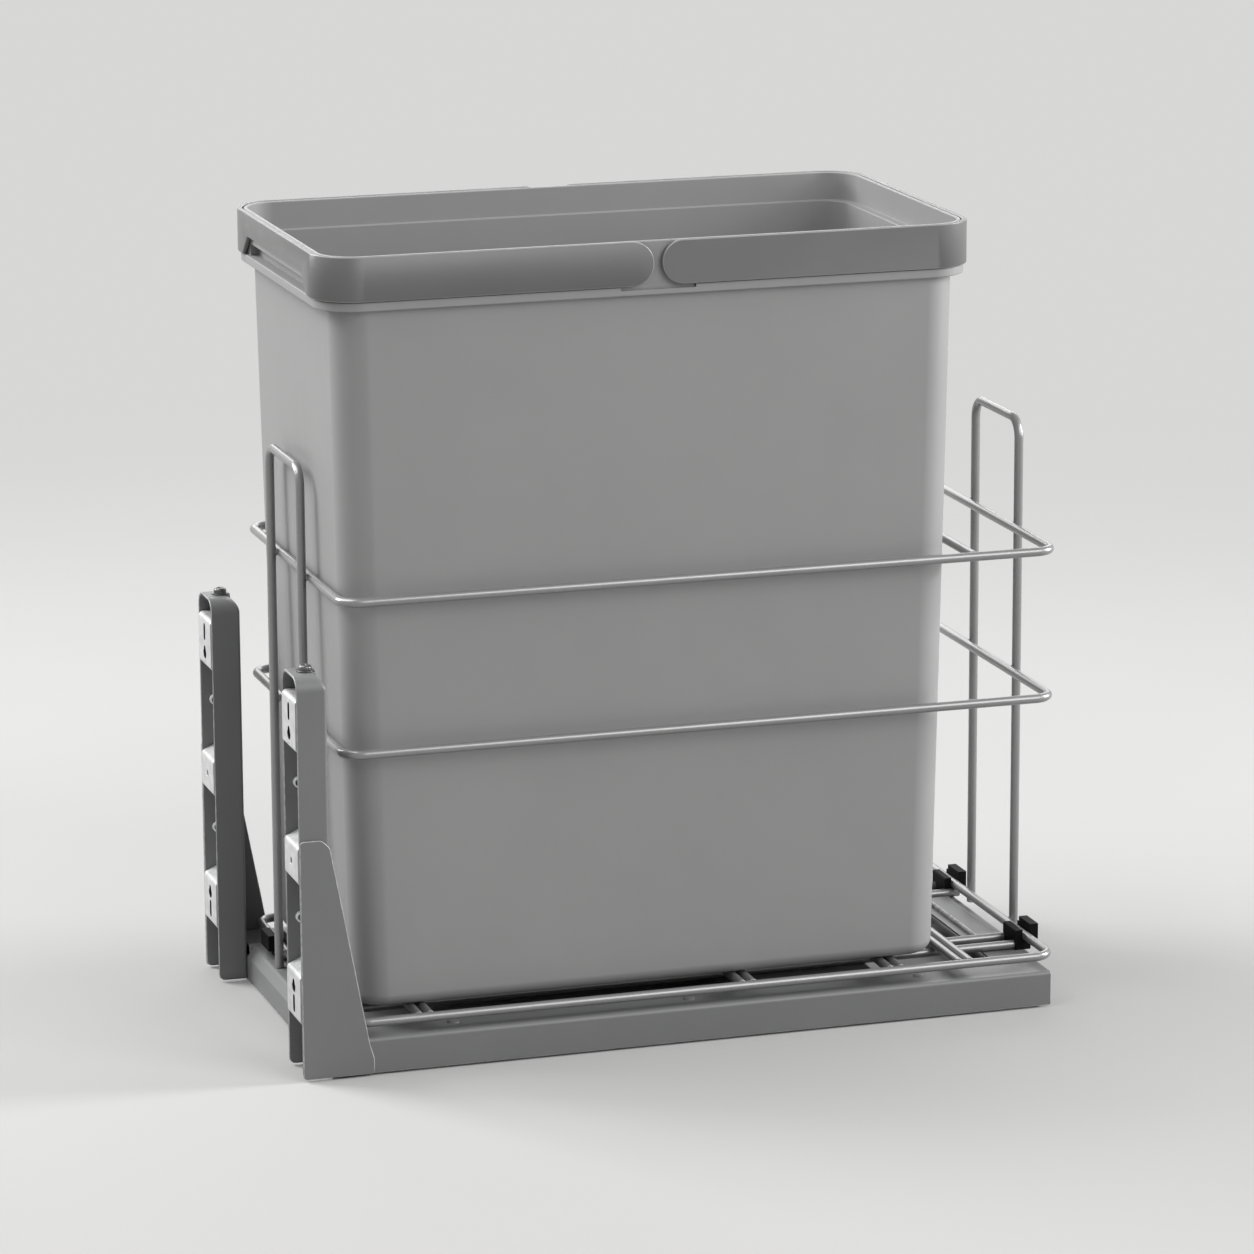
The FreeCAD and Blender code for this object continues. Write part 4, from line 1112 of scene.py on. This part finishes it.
for label, _ in SIDES:
    for stem, cut in (("side_channel", CHANNEL_EDGE), ("gusset", GUSSET_EDGE)):
        node = f"{stem}_{label}"
        piece = fit(rounded(copied(node, "sheet_" + node), cut), powder_coat, [node])
        print(piece.name, "faces", len(piece.data.polygons))

# %% [markdown]
# ### The door brackets
#
# A bracket is drawn, not bent: its blank is pressed into a die until the top closes in a round cap. In plan it is
# a U, open to the door. The U stays the same up to the cap and then draws in from three sides at once, so it is a
# stack of U-shaped rows again, closed by a flat top. The height screw needs a level seat, which is a low round
# boss in the cap, hollow underneath: a ring turned about the screw's axis.

# %% A ring about Z
def ring_solid(name, outline, steps=48):
    """Ring of revolution about Z."""
    bm = bmesh.new()
    rows = []
    for i in range(steps):
        angle = 2 * math.pi * i / steps
        rows.append([bm.verts.new((radius * math.cos(angle), radius * math.sin(angle), z)) for radius, z in outline])
    quads(bm, rows + rows[:1])
    bmesh.ops.recalc_face_normals(bm, faces=bm.faces)
    return shaded(thing(name, bm))


# %% Rows of a bracket
CAP = 9.0 * MM
CAP_SIDE = 9.5 * MM
CAP_BACK = 8.0 * MM
TOE = 4.0 * MM
PLAN_ROUND = 2.0 * MM
CAP_ROUND = 6.2 * MM
CAP_STEPS = 10
SEAT_RISE = 0.12 * MM
SEAT_HOLE = 4.7 * MM
SEAT = ((2.3, -1.5), (4.7, -1.5), (4.7, -3.2), (6.2, -3.2), (6.2, -0.3), (6.1, -0.08), (5.9, 0.0), (2.3, 0.0))


def bracket_row(low, high, inset, front, z):
    """One U in plan, from the front of one wall round the back to the front of the other."""
    side, back, corner = inset
    x, y = (low.x + side, high.x - side), high.y - back
    row = [(x[0], front, z)]
    for centre_x, first in ((x[0] + corner, 180.0), (x[1] - corner, 90.0)):
        for angle in (math.radians(first - 90.0 * step / ARC_STEPS) for step in range(ARC_STEPS + 1)):
            row.append((centre_x + corner * math.cos(angle), y - corner + corner * math.sin(angle), z))
    return row + [(x[1], front, z)]


def screw_hole(label, top, radius):
    """Round solid to cut with on the height screw's axis, through a sheet whose outer face is at the height top."""
    x, y, _ = middle(f"height_screw_{label}")
    spot = Vector((x, y, top - SHEET / 2))
    return cylinder(radius, 3 * SHEET, lambda p: spot + p, segments=50)


def bracket(label):
    low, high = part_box(f"door_bracket_{label}")
    plain = (0.0, 0.0, PLAN_ROUND)
    rows = [(plain, low.y + back, low.z + rise) for rise, back in quarter_round(TOE, ARC_STEPS)]
    for drawn, short in quarter_round(1.0, CAP_STEPS):
        corner = PLAN_ROUND + (CAP_ROUND - PLAN_ROUND) * drawn
        z = high.z - SEAT_RISE - CAP * short
        rows.append(((CAP_SIDE * drawn, CAP_BACK * drawn, corner), low.y, z))
    bm = bmesh.new()
    grid = [[bm.verts.new(point) for point in bracket_row(low, high, *row)] for row in rows]
    quads(bm, grid[::-1], closed=False)
    bm.faces.new(grid[-1][::-1])
    shell = rounded(thickened(thing(f"sheet_door_bracket_{label}", bm)), BRACKET_EDGE)
    shell = combined(shell, [screw_hole(label, high.z, SEAT_HOLE)], "DIFFERENCE")
    seat = ring_solid("seat", [(radius * MM, z * MM) for radius, z in SEAT])
    x, y, _ = middle(f"height_screw_{label}")
    for vertex in seat.data.vertices:
        vertex.co += Vector((x, y, high.z))
    shell = joined(shell.name, [shell, seat])
    shell.data.set_sharp_from_angle(angle=SMOOTH)
    return fit(shell, powder_coat, [f"door_bracket_{label}"])


# %% The brackets
for label, _ in SIDES:
    made = bracket(label)
    print(made.name, "faces", len(made.data.polygons))

# %% [markdown]
# ### The adjusting rails
#
# A rail is one bent strip too. Three pads stand proud of the bracket and carry the door; between them the strip
# lies at the bottom of the channel. The holes are punched before bending: a slot and a drop-shaped hole in the
# outer pads, so that the door can be hung on its screws and then pushed down, and a plain one in the middle. The
# walls of the wide holes get a painted shade, nearly black, so their faces are marked for the zinc's shader.

# %% Adjusting rails
PAD_Y = -245.6 * MM
STRIP_Y = -229.8 * MM
PAD_SLOPE = 7.0 * MM
PADS_Z = ((35.0 * MM, 64.0 * MM), (121.475 * MM, 143.475 * MM), (202.5 * MM, 234.0 * MM))
SLOTS_Z = (44.0 * MM, 224.0 * MM)
DROPS_Z = (55.8 * MM, 211.6 * MM)
PILOT_Z = 204.6 * MM
RAIL_FOLD = 3.2 * MM
RAIL_EDGE = 0.2 * MM
SCREW_HOLE = 2.06 * MM
# Radius of the lower circle, of the upper one, and the distance between them.
SLOT = (2.1 * MM, 2.1 * MM, 6.8 * MM)
DROP = (3.9 * MM, 2.5 * MM, 1.8 * MM)
ROUND_HOLE = (2.0 * MM, 2.0 * MM, 0.4 * MM)
PILOT_HOLE = (0.8 * MM, 0.8 * MM, 0.2 * MM)
# How far the walls reach: to the side of the middle, along Z in a slot, and along Z in a drop.
WALL_REACH = (4.1 * MM, 5.8 * MM, 5.0 * MM)


def oval(x, z, lower, upper, apart):
    """Outline round two circles, one above the other."""
    right_down = arc((x, z - apart / 2), lower, 180, 360, 16)
    return right_down + arc((x, z + apart / 2), upper, 0, 180, 16)


def rail(label):
    low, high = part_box(f"adjusting_rail_{label}")
    x = (low.x + high.x) / 2
    points = [(STRIP_Y, low.z)]
    for foot, head in PADS_Z:
        points += [(STRIP_Y, foot - PAD_SLOPE), (PAD_Y, foot), (PAD_Y, head)]
        points += [(STRIP_Y, head + PAD_SLOPE)] if head < high.z else [(STRIP_Y, head)]
    made = strip(f"zinc_adjusting_rail_{label}", points, RAIL_FOLD, (low.x, high.x))
    shapes = [(z, *SLOT) for z in SLOTS_Z] + [(z, *DROP) for z in DROPS_Z]
    shapes += [(sum(PADS_Z[1]) / 2, *ROUND_HOLE), (PILOT_Z, *PILOT_HOLE)]
    punches = [plate("punch", oval(x, *shape), (PAD_Y - SHEET, PAD_Y + 2 * SHEET)) for shape in shapes]
    punches.append(screw_hole(label, high.z, SCREW_HOLE))
    made = rounded(combined(made, punches, "DIFFERENCE"), RAIL_EDGE)

    def punched(place, normal):
        """Whether a face lies in the wall of a slot or a drop."""
        if abs(place.x - x) > WALL_REACH[0] or abs(normal.y) > 0.5:
            return False
        in_slot = any(abs(place.z - z) < WALL_REACH[1] for z in SLOTS_Z)
        return in_slot or any(abs(place.z - z) < WALL_REACH[2] for z in DROPS_Z)

    # The walls of the slots and drops get a painted shade, nearly black.
    return fit(marked_hole_shade(made, punched), zinc_plate, [f"adjusting_rail_{label}"])


for label, _ in SIDES:
    made = rail(label)
    print(made.name, "faces", len(made.data.polygons))

# %% Clips
CLIP_EDGE = 0.3 * MM
for label, _ in SIDES:
    for end in ("front", "rear"):
        node = f"rim_clip_{end}_{label}"
        fit(rounded(copied(node, "clip_" + node), CLIP_EDGE, clamp=True), clip_plastic, [node])

# %% [markdown]
# ## Screws with real threads
#
# The screws are M4 with a pan head and a cross recess. A thread is a rule too: on a cylinder unrolled into a grid,
# the radius at each place depends only on the height minus the turn, so a saw-tooth of that sum winds round the
# shank by itself. The head is a revolved outline, and the recess is cut with a tapered cross.

# %% One screw
SCREW_RADIUS = 2.0 * MM
THREAD_PITCH = 0.7 * MM
THREAD_DEPTH = 0.32 * MM
HEAD_RADIUS = 4.0 * MM
HEAD_HEIGHT = 3.0 * MM
HEAD_CROWN = 1.7 * MM
HEAD_CHAMFER = 0.15 * MM
TIP_LENGTH = 1.2 * MM
TIP_DEPTH = 0.35 * MM
HEIGHT_SCREW_LENGTH = 27.0 * MM
# Half length and half width of one arm of the cross, at its mouth and at its foot.
CROSS_MOUTH = (2.35 * MM, 0.6 * MM)
CROSS_FOOT = (1.1 * MM, 0.45 * MM)
CROSS_DEPTH = 1.5 * MM


def shank(name, length, turns=28, rows_per_pitch=6):
    """Threaded shank from z = 0 down to -length, closed at both ends."""
    bm = bmesh.new()
    levels = int(length / THREAD_PITCH * rows_per_pitch)
    grid = []
    for level in range(levels + 1):
        z = -length * level / levels
        taper = min(1.0, (length + z) / TIP_LENGTH)
        row = []
        for turn in range(turns):
            phase = (z / THREAD_PITCH - turn / turns) % 1.0
            depth = THREAD_DEPTH * abs(2 * phase - 1) + TIP_DEPTH * (1 - taper)
            radius = SCREW_RADIUS - depth
            angle = 2 * math.pi * turn / turns
            row.append(bm.verts.new((radius * math.cos(angle), radius * math.sin(angle), z)))
        grid.append(row)
    quads(bm, grid[::-1])
    bm.faces.new(grid[0])
    bm.faces.new(grid[-1][::-1])
    return thing(name, bm)


def turned(name, outline, steps=40):
    """Solid of revolution about Z; the outline runs from the axis round to the axis."""
    bm = bmesh.new()
    rows = []
    for radius, z in outline[1:-1]:
        angles = [2 * math.pi * i / steps for i in range(steps)]
        rows.append([bm.verts.new((radius * math.cos(a), radius * math.sin(a), z)) for a in angles])
    quads(bm, rows)
    for row, (_, z), flip in ((rows[0], outline[0], True), (rows[-1], outline[-1], False)):
        centre = bm.verts.new((0, 0, z))
        for i in range(steps):
            j = (i + 1) % steps
            corners = (row[j], row[i], centre) if flip else (row[i], row[j], centre)
            bm.faces.new(corners)
    return thing(name, bm)


def cross_recess():
    """Tapered cross to cut out of a head."""
    tools = []
    top, bottom = HEAD_HEIGHT + 0.2 * MM, HEAD_HEIGHT - CROSS_DEPTH
    for order in (1, -1):
        tool = brick((-1, 1), (-1, 1), (bottom, top))
        for vertex in tool.data.vertices:
            arm = CROSS_MOUTH if vertex.co.z > (top + bottom) / 2 else CROSS_FOOT
            for axis, half in enumerate(arm[::order]):
                vertex.co[axis] = math.copysign(half, vertex.co[axis])
        tools.append(tool)
    return tools


def screw(name, length):
    """Pan-head screw: seat at z = 0, head above and thread below."""
    outline = [(0.0, 0.0), (HEAD_RADIUS - HEAD_CHAMFER, 0.0), (HEAD_RADIUS, HEAD_CHAMFER)]
    outline += [(HEAD_RADIUS - inset, HEAD_HEIGHT - drop) for inset, drop in quarter_round(HEAD_CROWN, 6)]
    outline.append((0.0, HEAD_HEIGHT))
    head = combined(turned(name, outline), cross_recess(), "DIFFERENCE")
    return shaded(combined(head, [shank("shank", length)], "UNION"))


# %% [markdown]
# One tree sets any small part on a set of points and turns it. The prototype is an object input, so the same tree
# serves screws, rings and rivets.

# %% The hardware tree
def hardware_tree():
    recipe = Recipe("hardware_rows", {"Prototype": "object", "Tilt": float, "Finish": "material"})
    source = recipe.node("GeometryNodeObjectInfo", None, {"Object": recipe.given("Prototype")})
    angles = recipe.node("ShaderNodeCombineXYZ", None, {"Y": recipe.given("Tilt")})
    turn = recipe.node("FunctionNodeEulerToRotation", None, {0: angles.outputs[0]})
    inputs = {
        "Points": recipe.given("Geometry"),
        "Instance": source.outputs["Geometry"],
        "Rotation": turn.outputs[0],
    }
    rows = recipe.node("GeometryNodeInstanceOnPoints", None, inputs)
    return recipe.close(rows.outputs[0])


hardware_rows = hardware_tree()


def hardware(name, prototype, places, tilt, finish, nodes):
    """Repeat a prototype at the places, tilted about Y, and fit the result."""
    points = points_object(name, places)
    made = hardware_rows.run(points, {"Prototype": prototype, "Tilt": tilt, "Finish": finish})
    made.data.set_sharp_from_angle(angle=math.radians(40.0))
    return fit(made, finish, nodes)


# %% Height screws
height_screw = screw("height_screw", HEIGHT_SCREW_LENGTH)
for label, _ in SIDES:
    node = f"height_screw_{label}"
    seat = (*middle(node)[:2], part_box(node)[1].z - HEAD_HEIGHT)
    hardware(f"screw_height_{label}", height_screw, [seat], 0.0, screw_steel, [node])
    print("screws", label, "height seat z, mm", round(seat[2] / MM, 1))

# %% [markdown]
# Washers, retaining rings and the tubular studs that keep a rail back in its bracket are all rings: a small closed
# outline with rounded corners, turned about an axis.

# %% Washers, retainers, studs and rivets
def ring_outline(outer, inner, height, edge):
    """Closed outline of a ring's section, with rounded corners."""
    outline = []
    corners = (
        (outer - edge, edge, -90), (outer - edge, height - edge, 0),
        (inner + edge, height - edge, 90), (inner + edge, edge, 180),
    )
    for radius, z, start in corners:
        outline += arc((radius, z), edge, start, start + 90, 4)
    return outline


# Outer radius, inner radius, height and rounding of each ring.
WASHER = (5.4 * MM, SCREW_HOLE, 1.0 * MM, 0.2 * MM)
RETAINER = (3.6 * MM, SCREW_HOLE, 1.6 * MM, 0.2 * MM)
STUD = (3.3 * MM, 2.2 * MM, 3.6 * MM, 0.3 * MM)
STUD_RADIUS, STUD_BORE, STUD_LENGTH = STUD[:3]
BORE_WALL = STUD_BORE + 0.05 * MM
washer, retainer, stud = (
    ring_solid(name, ring_outline(*sizes))
    for name, sizes in (("washer", WASHER), ("retainer", RETAINER), ("stud", STUD))
)
# Painted shade: the stud's bore is painted nearly black.
marked_hole_shade(stud, lambda place, normal: math.hypot(place.x, place.y) < BORE_WALL)


RIVETS_Y = (-147.0 * MM, 3.0 * MM, 153.0 * MM)
RIVET_HEAD, RIVET_SHANK = 3.8 * MM, 2.0 * MM
RIVET_DOME, RIVET_FOOT, RIVET_GRIP = 1.0 * MM, 1.0 * MM, 3.0 * MM
RIVET_CHAMFER = 0.5 * MM


def rivet_shape():
    """Domed head above, formed foot below, shank between them; the seat is at z = 0."""
    foot = -RIVET_GRIP - RIVET_FOOT
    outline = [(0.0, foot), (RIVET_HEAD - RIVET_CHAMFER, foot), (RIVET_HEAD, foot + RIVET_CHAMFER)]
    outline += [(RIVET_HEAD, -RIVET_GRIP), (RIVET_SHANK, -RIVET_GRIP), (RIVET_SHANK, 0.0), (RIVET_HEAD, 0.0)]
    for step in range(1, 6):
        angle = math.pi / 2 * step / 6
        outline.append((RIVET_HEAD * math.cos(angle), RIVET_DOME * math.sin(angle)))
    outline.append((0.0, RIVET_DOME))
    return shaded(turned("rivet", outline))


rivet = rivet_shape()
for label, _ in SIDES:
    low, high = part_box(f"guide_studs_{label}")
    feet = (low.x, high.x - STUD_LENGTH)
    seats = [(x, (low.y + high.y) / 2, z) for x in feet for z in (low.z + STUD_RADIUS, high.z - STUD_RADIUS)]
    hardware(f"studs_{label}", stud, seats, math.pi / 2, stud_zinc, [f"guide_studs_{label}"])
    for stem, shape, finish in (("screw_washer", washer, screw_steel), ("screw_retainer", retainer, zinc_plate)):
        node = f"{stem}_{label}"
        seat = (*middle(node)[:2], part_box(node)[0].z)
        hardware(f"{stem}_ring_{label}", shape, [seat], 0.0, finish, [node])
    node = f"runner_rivets_{label}"
    places = [(middle(node)[0], y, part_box(node)[1].z - RIVET_DOME) for y in RIVETS_Y]
    hardware(f"rivets_{label}", rivet, places, 0.0, powder_coat, [node])
for prototype in (height_screw, washer, retainer, stud, rivet):
    bpy.data.objects.remove(prototype)
print("pieces so far", len(fitted_pieces))

# %% [markdown]
# ## The runners
#
# Each runner has a fixed member, a middle one and the sledge's own, with two rows of balls between each pair in a
# thin cage. They are plain pressed sections, so their CAD meshes are good as they are and only need a finish. The
# balls are one more case for points: eight in a row, two rows to a cage.

# %% Balls in rows
def ball_tree():
    recipe = Recipe("ball_rows", {"Ball radius": float, "Roundness": int, "Finish": "material"})
    inputs = {"Radius": recipe.given("Ball radius"), "Subdivisions": recipe.given("Roundness")}
    ball = recipe.node("GeometryNodeMeshIcoSphere", None, inputs)
    inputs = {"Points": recipe.given("Geometry"), "Instance": ball.outputs[0]}
    rows = recipe.node("GeometryNodeInstanceOnPoints", None, inputs)
    return recipe.close(rows.outputs[0])


ball_rows = ball_tree()
BALL_RADIUS = 2.0 * MM
BALLS = 8
for label, _ in SIDES:
    for row in ("inner", "outer"):
        node = f"{row}_balls_{label}"
        low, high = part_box(node)
        z = (low.z + high.z) / 2
        first, last = low.y + BALL_RADIUS, high.y - BALL_RADIUS
        columns = (low.x + BALL_RADIUS, high.x - BALL_RADIUS)
        places = [(x, first + (last - first) * k / (BALLS - 1), z) for x in columns for k in range(BALLS)]
        points = points_object("balls_" + node, places)
        values = {"Ball radius": BALL_RADIUS, "Roundness": 3, "Finish": ball_steel}
        fit(ball_rows.run(points, values), ball_steel, [node])

# %% Runner members and ball cages keep their CAD meshes
for label, _ in SIDES:
    for stem in ("cabinet_member", "middle_member", "sledge_member", "outer_ball_cage", "inner_ball_cage"):
        node = frame["nodes"][f"{stem}_{label}"]
        node.data.materials.clear()
        node.data.materials.append(runner_steel)
left_over = [name for name, node in frame["nodes"].items() if not node.hide_render]
print("CAD nodes shown with a finish:", len(left_over))

# %% [markdown]
# ## Floor, light and camera
#
# The floor and the background are one pale tone, so nothing competes with the object. A big soft lamp stands in
# front of the door side, which makes the end of the tub the brightest wall, and a weaker one fills the long side.
# A strip behind draws the thin bright line along the rims. The level is kept plain: a grey renders about as grey
# as it is written.

# %% Floor and background
FADE = (0.7, 2.0)


def floor_finish():
    look = Finish("floor_pale", Specular_IOR_Level=0.0)
    cloud = look.noise(3.0, 2.0)
    shade = look.colour(cloud, grey(0.40, 0.004), grey(0.42, 0.004))
    away = Signal(look, look.node("ShaderNodeVectorMath", {"operation": "LENGTH"}, {0: look.place}).outputs["Value"])
    look.tree.links.new((1 - away.ramp(FADE[0], FADE[1])).socket, look.shader.inputs["Alpha"])
    return look.finish(shade, 0.6 + cloud * 0.1, cloud, 0.0001)


bm = bmesh.new()
bmesh.ops.create_circle(bm, cap_ends=True, segments=96, radius=FADE[1])
floor = thing("floor", bm)
floor.location.z = -0.0004
floor.data.materials.append(floor_finish())

world = bpy.data.worlds.new("studio")
bpy.context.scene.world = world
world.use_nodes = True
air = Graph(world.node_tree)
background = world.node_tree.nodes["Background"]
background.inputs["Color"].default_value = grey(0.80, 0.004)
rays = air.node("ShaderNodeLightPath")
seen = Signal(air, rays.outputs["Is Camera Ray"])
for kind in ("Is Glossy Ray", "Is Transmission Ray"):
    seen = seen.joined("MAXIMUM", Signal(air, rays.outputs[kind]))
strength = 0.5 + seen * 0.35
air.tree.links.new(strength.socket, background.inputs["Strength"])


# %% Lamps
def lamp(name, place, target, size, power, tall=None):
    """Soft rectangular lamp that faces a target."""
    data = bpy.data.lights.new(name, "AREA")
    data.shape = "RECTANGLE"
    data.size, data.size_y = size, tall or size
    data.energy = power
    made = bpy.data.objects.new(name, data)
    made.location = place
    made.rotation_euler = (Vector(target) - Vector(place)).to_track_quat("-Z", "Y").to_euler()
    collection.objects.link(made)
    return made


lamp("front_softbox", (-1.6, -2.0, 1.7), (0, 0, 0.25), 1.4, 80.0)
lamp("side_softbox", (2.2, 1.2, 1.8), (0, 0, 0.25), 1.8, 41.0)
lamp("top_softbox", (-0.2, -1.3, 2.3), (0, 0, 0.3), 1.6, 36.0)
lamp("rear_softbox", (0.4, 2.6, 1.1), (0, 0, 0.25), 0.7, 84.0, 1.3)
lamp("back_strip", (-2.4, 0.7, 1.35), (0, 0, 0.45), 2.6, 22.0, 0.9)

# %% Camera
CAMERA_AT = (3.21296, -1.017724, 1.034499)
AZIMUTH, ELEVATION, ROLL = (math.radians(angle) for angle in (72.45532, 13.39006, -0.284058))
FOCAL_PIXELS, FRAME_PIXELS, SENSOR = 5582.89, 1254.0, 36.0
level = math.cos(ELEVATION)
back = Vector((math.sin(AZIMUTH) * level, -math.cos(AZIMUTH) * level, math.sin(ELEVATION)))
across = (-back).cross(Vector((0, 0, 1))).normalized()
up = across.cross(-back)
across, up = across * math.cos(ROLL) + up * math.sin(ROLL), up * math.cos(ROLL) - across * math.sin(ROLL)

camera_data = bpy.data.cameras.new("camera")
camera_data.sensor_width = SENSOR
camera_data.lens = FOCAL_PIXELS / FRAME_PIXELS * SENSOR
camera = bpy.data.objects.new("camera", camera_data)
collection.objects.link(camera)
camera.location = CAMERA_AT
turning = [[across[i], up[i], back[i]] for i in range(3)]
camera.rotation_mode = "QUATERNION"
camera.rotation_quaternion = Matrix(turning).to_quaternion()
bpy.context.scene.camera = camera
bpy.context.scene.view_settings.view_transform = "Standard"
print("lens, mm:", round(camera_data.lens, 1))

# %% Count the faces
total = sum(len(piece.data.polygons) for piece in fitted_pieces)
print("faces in all:", total)
